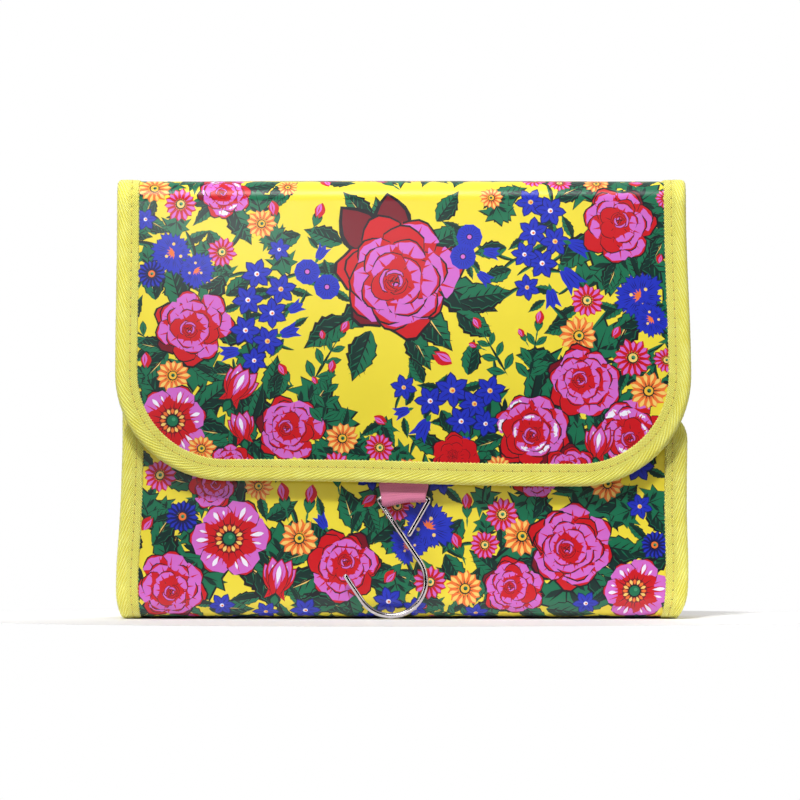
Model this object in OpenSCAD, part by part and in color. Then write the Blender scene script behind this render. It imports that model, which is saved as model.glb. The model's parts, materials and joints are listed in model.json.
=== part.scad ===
// Hanging toiletry bag that folds like a letter: a back section, a flap that folds down over the
// front with its hook on a ribbon, and a low front section that folds up behind the flap's lip.
// The bag is closed and stands on its base. X runs across it, +Y to its back and +Z up.

/* [Overall] */
// Width across the edge binding
bag_w = 260; // [240:1:290]
// Height of the closed bag
bag_h = 200; // [198:1:220]
// Depth of the closed bag, from the flap's face to its back
bag_d = 62; // [60:1:70]
// Outer radius of each soft fold
fold_r = 10; // [9:0.5:11]

/* [Sections] */
// Length of the flap, from the top of the bag to its hem
flap_len = 138; // [134:1:140]
// Radius of the flap's two lower corners
flap_corner_r = 50; // [20:1:55]
// Height of the front section, which must stay under half the bag's height
front_h = 96; // [92:1:97]
// Radius of the front section's two upper corners
front_corner_r = 14; // [8:1:20]
// Free space between the flap's lip and the front section
lip_gap = 3.6; // [3.2:0.1:5]

/* [Layers] */
// Thickness of the binding tape
tape_t = 0.6; // [0.4:0.1:0.8]
// Thickness of the printed oilcloth cover
cover_t = 0.7; // [0.5:0.1:1]
// Thickness of the foam board between cover and lining
board_t = 1.6; // [1:0.1:2]
// Thickness of the lining
lining_t = 0.7; // [0.4:0.1:1]
// Width of the binding on each face
binding_w = 10; // [8:0.5:12]

/* [Pouches] */
// Width of each pouch
pouch_w = 236; // [200:1:238]
// Space between facing pouches when the bag is closed
pouch_gap = 8; // [8:0.5:10]
// Thickness of the pouch walls
gusset_t = 0.8; // [0.6:0.1:1.2]
// Thickness of the pouch faces
face_t = 0.6; // [0.4:0.1:0.8]
// Height of the fabric strip beyond each zip
header_h = 14; // [10:1:18]
// Width of the tape around each pouch face
trim_w = 6; // [4:0.5:8]

/* [Zips] */
// Height of the zip across its two tapes
zip_h = 12; // [10:1:14]
// Length of the zip between its end stops
zip_len = 216; // [200:1:218]
// Width of the coil
coil_w = 3.6; // [3:0.1:4]
// Length of the pull tab
pull_len = 20; // [16:1:22]

/* [Hook] */
// Diameter of the hook's wire
wire_d = 2.2; // [2:0.1:2.4]
// Width of the hook's eye between wire centres
eye_w = 24.3; // [24:0.1:26]
// Radius of the hook's bend
bend_r = 16; // [14:0.5:17]
// Length of the straight run from the eye to the bend
shank_len = 35; // [32:0.5:35]
// Width of the ribbon that holds the hook
strap_w = 20; // [16:0.5:20]

/* [Hidden] */
$fn = 32;

// Depth below a section's outer face at which each layer starts.
at_cover = tape_t;
at_board = at_cover + cover_t;
at_lining = at_board + board_t;
at_inside = at_lining + lining_t;
section_t = at_inside + tape_t;

// Outer face of each section, and the flat panels' ends, which leave the folds free to bend.
back_y = bag_d / 2;
flap_y = -bag_d / 2;
front_y = flap_y + section_t + lip_gap;
panel_end = 0.5;
panel_top = bag_h - fold_r - panel_end;
panel_bottom = fold_r + panel_end;
fold_end = 0.3;
hem_z = bag_h - flap_len;

// Pouches: lower and upper edges at rest, and how far each stands off its lining.
flap_pouch_z = [100, panel_top - 1.5];
back_pouch_z = [panel_bottom + 3.5, panel_top - 3.5];
front_pouch_z = [panel_bottom + 3, front_h - binding_w - 1];
face_back_y = 6;
face_front_y = face_back_y - pouch_gap;
back_pouch_d = back_y - at_inside - face_back_y;
flap_pouch_d = face_front_y - flap_y - at_inside;
front_pouch_d = face_front_y - front_y - at_inside;
trim_t = 0.5;

// Zip details, measured up from the pouch's face.
coil_gap = 2;
coil_h = 0.8;
stop_len = 2.5;
slider_len = 9;
slider_w = 8;
slider_from = 0.95;
slider_t = 1;
pull_t = 0.9;
play = 0.1;
post_r = 1.4;
cap_r = 2.6;
cap_t = 0.55;
pull_w = 6;
slider_rest = zip_len / 2 - slider_len / 2 - 1;

// Closure strips on the flap's lining and on the front section's cover.
closure_w = 60;
closure_h = 11.6;
closure_x = 62;
closure_z = hem_z + binding_w + 2;
closure_t = (front_y + at_cover - flap_y - at_inside) / 2 - 0.2;

// Ribbon and hook.
strap_x = 1;
ribbon_t = 1.1;
strap_y = flap_y + section_t + ribbon_t;
strap_top = hem_z + 14;
swing_z = hem_z - 1.4;
bar_z = hem_z - 6.3;
loop_bore_r = wire_d / 2 + 0.15;
loop_r = loop_bore_r + 0.9;
// The ribbon narrows at the bar, so the wire's two slanting ends pass beside it.
loop_w = strap_w - 1.7;
shank_heading = -56;
tip_len = 14.5;
tail_end = [2, -17.8];
eye_corner_r = 1.8;
wire_sides = 16;

YELLOW = [0.95, 0.85, 0.2];
PINK = [0.87, 0.5, 0.62];
CLEAR = [0.85, 0.92, 0.95, 0.4];
FOAM = [0.92, 0.92, 0.9];
STEEL = [0.78, 0.78, 0.8];

// ---- Shapes ----

function arc(cx, cy, r, from, to, steps = 10) =
    [for (i = [0:steps]) let (a = from + (to - from) * i / steps) [cx + r * cos(a), cy + r * sin(a)]];

// Rectangle with round corners, centred.
module rounded(w, h, r)
    polygon(concat(
        arc(w / 2 - r, h / 2 - r, r, 0, 90, 6), arc(r - w / 2, h / 2 - r, r, 90, 180, 6),
        arc(r - w / 2, r - h / 2, r, 180, 270, 6), arc(w / 2 - r, r - h / 2, r, 270, 360, 6)));

module flap_outline(inset) {
    half = bag_w / 2;
    r = flap_corner_r;
    polygon(concat(
        [[half - inset, panel_top]],
        arc(half - r, hem_z + r, r - inset, 0, -90, 16),
        arc(r - half, hem_z + r, r - inset, -90, -180, 16),
        [[inset - half, panel_top]]));
}

module front_outline(inset) {
    half = bag_w / 2;
    r = front_corner_r;
    polygon(concat(
        [[inset - half, panel_bottom]],
        [[half - inset, panel_bottom]],
        arc(half - r, front_h - r, max(r - inset, 1), 0, 90),
        arc(r - half, front_h - r, max(r - inset, 1), 90, 180)));
}

module back_outline(inset)
    translate([inset - bag_w / 2, panel_bottom])
        square([bag_w - 2 * inset, panel_top - panel_bottom]);

// A layer of a flat section: from depth t0 to t1 below the outer face, inward is +1 towards +Y.
module layer(outer_y, inward, t0, t1) {
    far_y = max(outer_y + inward * t0, outer_y + inward * t1);
    translate([0, far_y, 0]) rotate([90, 0, 0]) linear_extrude(t1 - t0) children();
}

// Tape folded over a section's edge: children are its outline, the tape's inner edge and the panel.
module folded_tape(outer_y, inward)
    difference() {
        layer(outer_y, inward, 0, section_t) difference() { children(0); children(1); }
        layer(outer_y, inward, at_cover, at_inside) children(2);
    }

// The closed bag from its side, inset by t, with its front at y0.
module side_outline(y0, t)
    polygon(concat(
        arc(back_y - fold_r, bag_h - fold_r, fold_r - t, 0, 90),
        arc(y0 + fold_r, bag_h - fold_r, fold_r - t, 90, 180),
        arc(y0 + fold_r, fold_r, fold_r - t, 180, 270),
        arc(back_y - fold_r, fold_r, fold_r - t, 270, 360)));

// A layer of the roof or the base with the folds at its ends, as a profile in Y and Z.
module fold_profile(roof, t0, t1)
    intersection() {
        difference() {
            side_outline(roof ? flap_y : front_y, t0);
            side_outline(roof ? flap_y : front_y, t1);
        }
        translate([-bag_d, roof ? panel_top + panel_end + fold_end : -1])
            square([2 * bag_d, fold_r + 1 - fold_end]);
    }

// Runs a Y and Z profile along X.
module across(x0, x1)
    rotate([90, 0, 90]) translate([0, 0, x0]) linear_extrude(x1 - x0) children();

module fold_layer(roof, t0, t1)
    across(tape_t - bag_w / 2, bag_w / 2 - tape_t) fold_profile(roof, t0, t1);

module fold_binding(roof)
    for (side = [0, 1]) mirror([side, 0, 0]) difference() {
        across(bag_w / 2 - binding_w, bag_w / 2) fold_profile(roof, 0, section_t);
        across(0, bag_w / 2 - tape_t) fold_profile(roof, at_cover, at_inside);
    }

// ---- Flap ----

module flap_cover() color(YELLOW) layer(flap_y, 1, at_cover, at_board) flap_outline(tape_t);

module flap_board() color(FOAM) layer(flap_y, 1, at_board, at_lining) flap_outline(tape_t);

module flap_lining() color(PINK) layer(flap_y, 1, at_lining, at_inside) flap_outline(tape_t);

module flap_binding()
    color(YELLOW) folded_tape(flap_y, 1) {
        flap_outline(0);
        translate([0, 0.01]) flap_outline(binding_w);
        flap_outline(tape_t);
    }

module closure_strips(y)
    for (side = [-1, 1])
        translate([side * closure_x - closure_w / 2, y, closure_z])
            cube([closure_w, closure_t, closure_h]);

module flap_closure_hook_strips() color(YELLOW) closure_strips(flap_y + at_inside);

// ---- Roof, back and base ----

module roof_cover() color(YELLOW) fold_layer(true, at_cover, at_board);

module roof_wadding() color(FOAM) fold_layer(true, at_board, at_lining);

module roof_lining() color(PINK) fold_layer(true, at_lining, at_inside);

module roof_binding() color(YELLOW) fold_binding(true);

module back_cover() color(YELLOW) layer(back_y, -1, at_cover, at_board) back_outline(tape_t);

module back_board() color(FOAM) layer(back_y, -1, at_board, at_lining) back_outline(tape_t);

module back_lining() color(PINK) layer(back_y, -1, at_lining, at_inside) back_outline(tape_t);

module back_binding()
    color(YELLOW) folded_tape(back_y, -1) {
        back_outline(0);
        translate([0, -1]) scale([1, 1.1]) back_outline(binding_w);
        back_outline(tape_t);
    }

module base_cover() color(YELLOW) fold_layer(false, at_cover, at_board);

module base_wadding() color(FOAM) fold_layer(false, at_board, at_lining);

module base_lining() color(PINK) fold_layer(false, at_lining, at_inside);

module base_binding() color(YELLOW) fold_binding(false);

// ---- Front section ----

module front_cover() color(YELLOW) layer(front_y, 1, at_cover, at_board) front_outline(tape_t);

module front_board() color(FOAM) layer(front_y, 1, at_board, at_lining) front_outline(tape_t);

module front_lining() color(PINK) layer(front_y, 1, at_lining, at_inside) front_outline(tape_t);

module front_binding()
    color(YELLOW) folded_tape(front_y, 1) {
        front_outline(0);
        translate([0, -0.01]) front_outline(binding_w);
        front_outline(tape_t);
    }

module front_closure_loop_strips()
    color(YELLOW) closure_strips(front_y + at_cover - closure_t);

// ---- Pouches ----
// A pouch is drawn flat: x across, y from its closed edge to its zip edge and z up off the lining.

module on_back() translate([0, back_y - at_inside, back_pouch_z[0]]) rotate([90, 0, 0]) children();

// The flap and the front section hang upside down once the bag is open, so their zips are lowest here.
module on_flap() translate([0, flap_y + at_inside, flap_pouch_z[1]]) rotate([-90, 0, 0]) children();

module on_front() translate([0, front_y + at_inside, front_pouch_z[1]]) rotate([-90, 0, 0]) children();

function span(z) = z[1] - z[0];

function zip_y(h) = h - header_h - zip_h / 2;

module gusset(h, d)
    color(PINK) difference() {
        translate([-pouch_w / 2, 0, 0]) cube([pouch_w, h, d - face_t]);
        translate([gusset_t - pouch_w / 2, gusset_t, -1])
            cube([pouch_w - 2 * gusset_t, h - 2 * gusset_t, d + 2]);
    }

module header(h, d)
    color(PINK) translate([-pouch_w / 2, h - header_h, d - face_t]) cube([pouch_w, header_h, face_t]);

module window(h, d)
    translate([-pouch_w / 2, 0, d - face_t]) cube([pouch_w, h - header_h - zip_h, face_t]);

module trim(h, d)
    color(YELLOW) difference() {
        translate([-pouch_w / 2 - trim_t, -trim_t, d - trim_w])
            cube([pouch_w + 2 * trim_t, h + 2 * trim_t, trim_w + trim_t]);
        translate([-pouch_w / 2, 0, d - trim_w - 1]) cube([pouch_w, h, trim_w + 1]);
        translate([trim_w - pouch_w / 2, trim_w, 0]) cube([pouch_w - 2 * trim_w, h - 2 * trim_w, 2 * d]);
    }

module zip_tapes(h, d)
    color(YELLOW) for (side = [0, 1])
        translate([-pouch_w / 2, zip_y(h) + (side ? coil_gap / 2 : -zip_h / 2), d - face_t])
            cube([pouch_w, (zip_h - coil_gap) / 2, face_t]);

module zip_coil(h, d)
    color(YELLOW) translate([-zip_len / 2, zip_y(h), d]) {
        translate([0, -coil_gap / 2, -face_t]) cube([zip_len, coil_gap, face_t]);
        translate([0, -coil_w / 2, 0]) cube([zip_len, coil_w, coil_h]);
    }

module zip_stops(h, d)
    color(STEEL) for (end = [zip_len / 2, -zip_len / 2 - stop_len])
        translate([end, zip_y(h) - coil_w / 2 - 0.4, d]) cube([stop_len, coil_w + 0.8, coil_h + 0.4]);

// The slider rides over the coil, with a flange down each side of it and a post for the pull.
module zip_slider(h, d, x)
    color(STEEL) translate([x, zip_y(h), d]) {
        translate([0, 0, slider_from]) linear_extrude(slider_t) rounded(slider_len, slider_w, 2);
        for (side = [0, 1]) mirror([0, side, 0])
            translate([1 - slider_len / 2, coil_w / 2 + 0.3, play])
                cube([slider_len - 2, 0.9, slider_from - play]);
        translate([0, 0, slider_from + slider_t]) cylinder(r = post_r, h = pull_t + 2 * play);
        translate([0, 0, slider_from + slider_t + pull_t + 2 * play]) cylinder(r = cap_r, h = cap_t);
    }

module zip_pull(h, d, x, turn)
    color(STEEL) translate([x, zip_y(h), d + slider_from + slider_t + play]) rotate([0, 0, turn])
        linear_extrude(pull_t) difference() {
            translate([pull_len / 2 - pull_w / 2, 0]) rounded(pull_len, pull_w, pull_w / 2 - 0.01);
            circle(r = post_r + play);
            translate([pull_len - pull_w - 1, 0]) rounded(5, 2.4, 1.19);
        }

module flap_pouch_gusset() on_flap() gusset(span(flap_pouch_z), flap_pouch_d);

module flap_pouch_header() on_flap() header(span(flap_pouch_z), flap_pouch_d);

module flap_pouch_mesh() color(PINK) on_flap() window(span(flap_pouch_z), flap_pouch_d);

module flap_pouch_trim() on_flap() trim(span(flap_pouch_z), flap_pouch_d);

module flap_zip_tapes() on_flap() zip_tapes(span(flap_pouch_z), flap_pouch_d);

module flap_zip_coil() on_flap() zip_coil(span(flap_pouch_z), flap_pouch_d);

module flap_zip_stops() on_flap() zip_stops(span(flap_pouch_z), flap_pouch_d);

module flap_zip_slider() on_flap() zip_slider(span(flap_pouch_z), flap_pouch_d, slider_rest);

module flap_zip_pull() on_flap() zip_pull(span(flap_pouch_z), flap_pouch_d, slider_rest, 90);

module back_pouch_gusset() on_back() gusset(span(back_pouch_z), back_pouch_d);

module back_pouch_header() on_back() header(span(back_pouch_z), back_pouch_d);

module back_pouch_window() color(CLEAR) on_back() window(span(back_pouch_z), back_pouch_d);

module back_pouch_trim() on_back() trim(span(back_pouch_z), back_pouch_d);

module back_zip_tapes() on_back() zip_tapes(span(back_pouch_z), back_pouch_d);

module back_zip_coil() on_back() zip_coil(span(back_pouch_z), back_pouch_d);

module back_zip_stops() on_back() zip_stops(span(back_pouch_z), back_pouch_d);

module back_zip_slider() on_back() zip_slider(span(back_pouch_z), back_pouch_d, slider_rest);

module back_zip_pull() on_back() zip_pull(span(back_pouch_z), back_pouch_d, slider_rest, -90);

module front_pouch_gusset() on_front() gusset(span(front_pouch_z), front_pouch_d);

module front_pouch_header() on_front() header(span(front_pouch_z), front_pouch_d);

module front_pouch_window() color(CLEAR) on_front() window(span(front_pouch_z), front_pouch_d);

module front_pouch_trim() on_front() trim(span(front_pouch_z), front_pouch_d);

module front_zip_tapes() on_front() zip_tapes(span(front_pouch_z), front_pouch_d);

module front_zip_coil() on_front() zip_coil(span(front_pouch_z), front_pouch_d);

module front_zip_stops() on_front() zip_stops(span(front_pouch_z), front_pouch_d);

module front_zip_slider() on_front() zip_slider(span(front_pouch_z), front_pouch_d, slider_rest);

module front_zip_pull() on_front() zip_pull(span(front_pouch_z), front_pouch_d, slider_rest, 90);

// ---- Ribbon and hook ----

module strap_sewn_end()
    color(PINK) translate([strap_x - strap_w / 2, strap_y - ribbon_t, hem_z])
        cube([strap_w, 2 * ribbon_t, strap_top - hem_z]);

// The free end of the ribbon, doubled round the hook's bar.
module strap_loop()
    color(PINK) across(strap_x - loop_w / 2, strap_x + loop_w / 2) difference() {
        union() {
            translate([strap_y, bar_z]) circle(r = loop_r);
            translate([strap_y - ribbon_t, bar_z]) square([2 * ribbon_t, swing_z - bar_z]);
        }
        translate([strap_y, bar_z]) circle(r = loop_bore_r);
    }

function heading(a) = [cos(a), sin(a)];

// Centre line of the wire in x and z about the middle of the bar, from the tail round to the tip.
half_eye = eye_w / 2;
shank_from = [-half_eye, 0] + eye_corner_r * heading(shank_heading);
shank_to = shank_from + (shank_len - eye_corner_r) * heading(shank_heading);
bend_centre = shank_to + bend_r * heading(shank_heading - 90);
bend_to = bend_centre + bend_r * heading(shank_heading - 90);
tip = bend_to + tip_len * heading(shank_heading + 180);
tail_from = [half_eye, 0] + eye_corner_r * (tail_end - [half_eye, 0]) / norm(tail_end - [half_eye, 0]);

// A quadratic curve that rounds the corner c between a and b.
function corner(a, c, b, steps = 6) =
    [for (i = [0:steps]) let (t = i / steps) (1 - t) ^ 2 * a + 2 * t * (1 - t) * c + t ^ 2 * b];

function line(a, b, steps) = [for (i = [1:steps]) a + (b - a) * i / steps];

wire_flat = concat(
    line(tail_end + (tail_end - tail_from) / 100, tail_from, 6),
    corner(tail_from, [half_eye, 0], [half_eye - eye_corner_r, 0]),
    line([half_eye - eye_corner_r, 0], [eye_corner_r - half_eye, 0], 3),
    corner([eye_corner_r - half_eye, 0], [-half_eye, 0], shank_from),
    line(shank_from, shank_to, 8),
    [for (i = [1:24]) bend_centre + bend_r * heading(shank_heading + 90 - 180 * i / 24)],
    line(bend_to, tip, 4));

// The shank passes in front of the tail, so the wire leans back to its tail and forward down the shank.
tail_lean = 1.3;
shank_lean = -1.1;
function lean(p, i) =
    i < 6 ? tail_lean * min(1, (-p[1]) / 16)
    : shank_lean * min(1, max(0, -p[1] - 1) / 12);

wire_path = [for (i = [0:len(wire_flat) - 1]) [wire_flat[i][0], lean(wire_flat[i], i), wire_flat[i][1]]];

function unit(v) = v / norm(v);

function along(path, i) = unit(path[min(i + 1, len(path) - 1)] - path[max(i - 1, 0)]);

// Tube of wire_sides sides along the path; the wire lies nearly flat, so +Y serves as its up.
module wire_tube(path, r) {
    n = wire_sides;
    rings = [for (i = [0:len(path) - 1])
        let (t = along(path, i), side = unit(cross(t, [0, 1, 0])), up = cross(side, t))
        for (k = [0:n - 1]) path[i] + r * (cos(360 * k / n) * side + sin(360 * k / n) * up)];
    last = (len(path) - 1) * n;
    walls = [for (i = [0:len(path) - 2], k = [0:n - 1])
        [i * n + k, i * n + (k + 1) % n, (i + 1) * n + (k + 1) % n, (i + 1) * n + k]];
    polyhedron(
        points = rings,
        faces = concat([[for (k = [n - 1:-1:0]) k]], [[for (k = [0:n - 1]) last + k]], walls));
}

module hanging_hook() color(STEEL) translate([strap_x, strap_y, bar_z]) wire_tube(wire_path, wire_d / 2);

flap_cover();
flap_board();
flap_lining();
flap_binding();
flap_closure_hook_strips();
strap_sewn_end();
strap_loop();
hanging_hook();
roof_cover();
roof_wadding();
roof_lining();
roof_binding();
back_cover();
back_board();
back_lining();
back_binding();
base_cover();
base_wadding();
base_lining();
base_binding();
front_cover();
front_board();
front_lining();
front_binding();
front_closure_loop_strips();
flap_pouch_gusset();
flap_pouch_header();
flap_pouch_mesh();
flap_pouch_trim();
flap_zip_tapes();
flap_zip_coil();
flap_zip_stops();
flap_zip_slider();
flap_zip_pull();
back_pouch_gusset();
back_pouch_header();
back_pouch_window();
back_pouch_trim();
back_zip_tapes();
back_zip_coil();
back_zip_stops();
back_zip_slider();
back_zip_pull();
front_pouch_gusset();
front_pouch_header();
front_pouch_window();
front_pouch_trim();
front_zip_tapes();
front_zip_coil();
front_zip_stops();
front_zip_slider();
front_zip_pull();
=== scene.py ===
"""Looks for the hanging toiletry bag: printed oilcloth, taped edges, ribbon, wire hook and pouches.

Lengths are in millimetres until a mesh is made. The skin of the bag is four runs of cloth, each from the
middle of the roof or base, over a soft fold and along a flat section, and every layer is laid on a run.
"""
import json
import math
from itertools import chain

import bmesh
import bpy
import numpy as np
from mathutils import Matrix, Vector
from mathutils.bvhtree import BVHTree
from mathutils.geometry import delaunay_2d_cdt


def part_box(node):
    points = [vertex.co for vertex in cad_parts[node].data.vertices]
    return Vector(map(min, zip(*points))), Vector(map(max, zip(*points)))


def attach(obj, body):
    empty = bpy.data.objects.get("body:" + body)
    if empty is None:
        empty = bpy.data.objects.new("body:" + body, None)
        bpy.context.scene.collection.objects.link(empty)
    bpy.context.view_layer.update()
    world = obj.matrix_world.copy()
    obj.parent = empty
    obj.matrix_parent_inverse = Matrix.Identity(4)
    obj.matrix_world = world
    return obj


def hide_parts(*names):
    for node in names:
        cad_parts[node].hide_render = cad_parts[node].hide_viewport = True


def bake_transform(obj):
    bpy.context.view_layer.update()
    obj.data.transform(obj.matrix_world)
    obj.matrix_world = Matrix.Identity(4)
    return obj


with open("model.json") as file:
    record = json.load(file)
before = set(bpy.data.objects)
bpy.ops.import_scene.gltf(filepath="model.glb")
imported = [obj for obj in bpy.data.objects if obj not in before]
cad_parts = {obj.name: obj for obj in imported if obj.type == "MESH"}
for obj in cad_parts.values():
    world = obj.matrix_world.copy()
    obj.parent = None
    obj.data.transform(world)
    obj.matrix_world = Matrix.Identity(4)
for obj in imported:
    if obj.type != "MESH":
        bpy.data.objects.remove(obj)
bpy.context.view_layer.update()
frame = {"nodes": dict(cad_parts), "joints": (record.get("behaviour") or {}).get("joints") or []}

MM = 0.001

# ---- Sizes from the frame ----


def low(node, axis):
    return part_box(node)[0][axis] / MM


def high(node, axis):
    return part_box(node)[1][axis] / MM


X, Y, Z = 0, 1, 2
JOINTS = {joint["name"]: joint for joint in frame["joints"]}
HALF_W = high("roof_binding", X)
FRONT_Y = low("flap_binding", Y)
BACK_Y = high("back_binding", Y)
LOWER_Y = low("front_binding", Y)
TOP_Z = high("roof_binding", Z)
HEM_Z = low("flap_binding", Z)
LIP_Z = high("front_binding", Z)
TAPE = low("flap_cover", Y) - FRONT_Y
BOARD = high("flap_cover", Y) - FRONT_Y
INSIDE = high("flap_lining", Y) - FRONT_Y
SECTION = high("flap_binding", Y) - FRONT_Y
FOLD_R = (TOP_Z - JOINTS["top_fold"]["pos_m"][Z] / MM) / (1 - math.pi / 4)
BINDING_W = 10.0
FLAP_CORNER = 50.0
LIP_CORNER = 14.0

# ---- Colours, as they look on a screen ----

COLOURS = {
    "ground": (240, 221, 62),
    "ink": (22, 20, 30),
    "leaf": (24, 112, 78),
    "leaf_dark": (10, 44, 40),
    "leaf_light": (64, 150, 110),
    "red": (205, 20, 30),
    "wine": (120, 12, 32),
    "orchid": (212, 108, 205),
    "magenta": (214, 50, 130),
    "white": (243, 240, 252),
    "blue": (34, 50, 190),
    "navy": (20, 24, 96),
    "orange": (240, 118, 52),
    "cream": (247, 208, 112),
    "gold": (244, 190, 60),
}


def linear(rgb):
    """A screen colour as the linear values that shaders and colour attributes hold."""
    return tuple(((c / 255 + 0.055) / 1.055) ** 2.4 if c > 10 else c / 255 / 12.92 for c in rgb)


# ---- Runs of cloth ----


def smooth(t):
    t = np.clip(t, 0, 1)
    return t * t * (3 - 2 * t)


class Run:
    """Cloth from the middle of the roof or base, over a fold and along a flat section.

    s is the distance along the outer line, and depth is measured inward from it.
    """

    def __init__(self, name, bodies, joint, start, heading, normal, flat, cloth, way, soften):
        self.name, self.bodies, self.joint = name, bodies, joint
        self.start, self.heading, self.normal = (np.array(v, float) for v in (start, heading, normal))
        self.to_fold = abs(start[0] - (BACK_Y if heading[0] > 0 else self.face(name))) - FOLD_R
        self.arc = FOLD_R * math.pi / 2
        self.fold_end = self.to_fold + self.arc
        self.length = self.fold_end + flat
        self.cloth, self.way, self.soften = cloth, way, soften

    @staticmethod
    def face(name):
        return FRONT_Y if name == "flap" else LOWER_Y

    def bare(self, s, depth):
        """Y and Z of points on the run as the pattern was cut, and the outward direction there."""
        s, depth = np.broadcast_arrays(np.asarray(s, float), np.asarray(depth, float))
        turn = np.clip(s - self.to_fold, 0, self.arc) / FOLD_R
        out = np.cos(turn)[..., None] * self.normal + np.sin(turn)[..., None] * self.heading
        centre = self.start + self.heading * self.to_fold - self.normal * FOLD_R
        on_roof = self.start + self.heading * s[..., None]
        past = np.maximum(s - self.fold_end, 0)[..., None]
        bent = centre + out * FOLD_R - self.normal * past
        at = np.where((s < self.to_fold)[..., None], on_roof, bent)
        return at - out * depth[..., None], out

    def at(self, x, s, depth):
        """Points in the shared frame, in millimetres, after the cloth has settled."""
        x, s, depth = np.broadcast_arrays(*(np.asarray(v, float) for v in (x, s, depth)))
        dx, ds, lift = self.soften(self, x, s)
        yz, _ = self.bare(s + ds, depth - lift)
        return np.stack([x + dx, yz[..., 0], yz[..., 1]], axis=-1)

    def normals(self, x, s, depth, step=0.2):
        """Outward normals of the settled surface at a depth."""
        along_x = self.at(x + step, s, depth) - self.at(x - step, s, depth)
        along_s = self.at(x, s + step, depth) - self.at(x, s - step, depth)
        n = unit(np.cross(along_x, along_s))
        _, out = self.bare(s, depth)
        flip = np.sign(n[..., 1] * out[..., 0] + n[..., 2] * out[..., 1])
        return n * flip[..., None]


def crown(x):
    """1 in the middle of the bag and 0 at its sides, falling off mostly near them."""
    return np.clip(1 - np.abs(x / HALF_W) ** 3.2, 0, 1)


def roof_lift(run, x, s):
    """The roof and its folds stand up a little round the pouches under them."""
    folds = 1.3 * smooth((run.fold_end - s) / run.arc)
    return folds + 0.9 * crown(x) * np.cos(np.pi / 2 * np.clip(s / run.to_fold, 0, 1)) ** 2


def settle_flap(run, x, s):
    """The flap is padded, flares a little to its lower corners and has a hem that isn't quite straight."""
    down = np.clip((s - run.fold_end) / (run.length - run.fold_end), 0, 1)
    flare = np.where(x > 0, 2.4, 0.9) * np.abs(x / HALF_W) ** 1.5 * np.sign(x)
    dx = flare * smooth(down / 0.62)
    ds = (1.35 * np.tanh((x - 8) / 40) - 0.3) * down**2
    puff = 2.7 * crown(x) * np.sin(np.pi * down**0.8) ** 1.1
    ripple = 0.28 * np.sin(x / 21 + 1.3 * down) * np.sin(np.pi * down) * crown(x)
    return dx, ds, puff + ripple + roof_lift(run, x, s)


def base_tuck(run, x, s):
    """The base rests a little above the ground on its binding, and its corners draw in."""
    low_down = 1 - smooth((s - run.to_fold) / (run.arc + 3))
    return np.where(x > 0, -3.4, 1.9) * np.abs(x / HALF_W) ** 8 * low_down, -0.42 * low_down


def settle_back(run, x, s):
    flat = np.clip((s - run.fold_end) / (run.length - run.fold_end), 0, 1)
    lift = 3.4 * crown(x) * np.sin(np.pi / 2 * flat) ** 2
    if run.name == "back_top":
        return 0 * x, 0 * x, lift + roof_lift(run, x, s)
    tuck, rise = base_tuck(run, x, s)
    return tuck, 0 * x, lift + rise


def settle_front(run, x, s):
    """The front section leans in at its upper corners and is flat in the middle, where the hook lies."""
    up = np.clip((s - run.fold_end) / (run.length - run.fold_end), 0, 1)
    share = np.abs(x / HALF_W) ** 2
    wide_foot = np.where(x > 0, 1.3, -1.1) * np.exp(-(((up - 0.12) / 0.25) ** 2))
    dx = (np.where(x > 0, 1.2 * up, 2.6 * up) + wide_foot) * share
    puff = 1.6 * crown(x) * np.sin(np.pi * up) ** 1.2 * (1 - np.exp(-((x / 34) ** 2)))
    tuck, rise = base_tuck(run, x, s)
    return dx + tuck, 0 * x, puff + rise


MID_ROOF = (FRONT_Y + BACK_Y) / 2
MID_BASE = (LOWER_Y + BACK_Y) / 2
MID_BACK = TOP_Z / 2
half_turn = FOLD_R * math.pi / 2
flap_length = MID_ROOF - FRONT_Y - FOLD_R + half_turn + TOP_Z - FOLD_R - HEM_Z
back_top_length = BACK_Y - MID_ROOF - FOLD_R + half_turn + TOP_Z - FOLD_R - MID_BACK
back_low_length = BACK_Y - MID_BASE - FOLD_R + half_turn + MID_BACK - FOLD_R
middle_back = flap_length + back_top_length
middle_base = middle_back + back_low_length

# The cloth is one strip, printed along its length, which starts at the flap's hem.
RUNS = {
    "flap": Run(
        "flap", ("roof", "flap"), "flap_fold", (MID_ROOF, TOP_Z), (-1, 0), (0, 1),
        TOP_Z - FOLD_R - HEM_Z, flap_length, -1, settle_flap),
    "back_top": Run(
        "back_top", ("roof", "back"), "top_fold", (MID_ROOF, TOP_Z), (1, 0), (0, 1),
        TOP_Z - FOLD_R - MID_BACK, flap_length, 1, settle_back),
    "back_low": Run(
        "back_low", ("base", "back"), "base_fold", (MID_BASE, 0), (1, 0), (0, -1),
        MID_BACK - FOLD_R, middle_base, -1, settle_back),
    "front": Run(
        "front", ("base", "front"), "front_fold", (MID_BASE, 0), (-1, 0), (0, -1),
        LIP_Z - FOLD_R, middle_base, 1, settle_front),
}


def outline(run, inset):
    """A run's cut edge, inset, as points in x and s, anticlockwise from its left end at s 0."""
    half = HALF_W - inset
    end = run.length - inset
    if run.name.startswith("back"):
        return [(-half, 0), (half, 0), (half, run.length), (-half, run.length)]
    r = (FLAP_CORNER if run.name == "flap" else LIP_CORNER) - inset
    corner = [r * math.sin(a) for a in np.linspace(0, math.pi / 2, 13)]
    right = [(half - r + corner[-1 - i], end - r + corner[i]) for i in range(13)]
    left = [(-x, s) for x, s in reversed(right)]
    return [(-half, 0), (half, 0), *right, *left]


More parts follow.
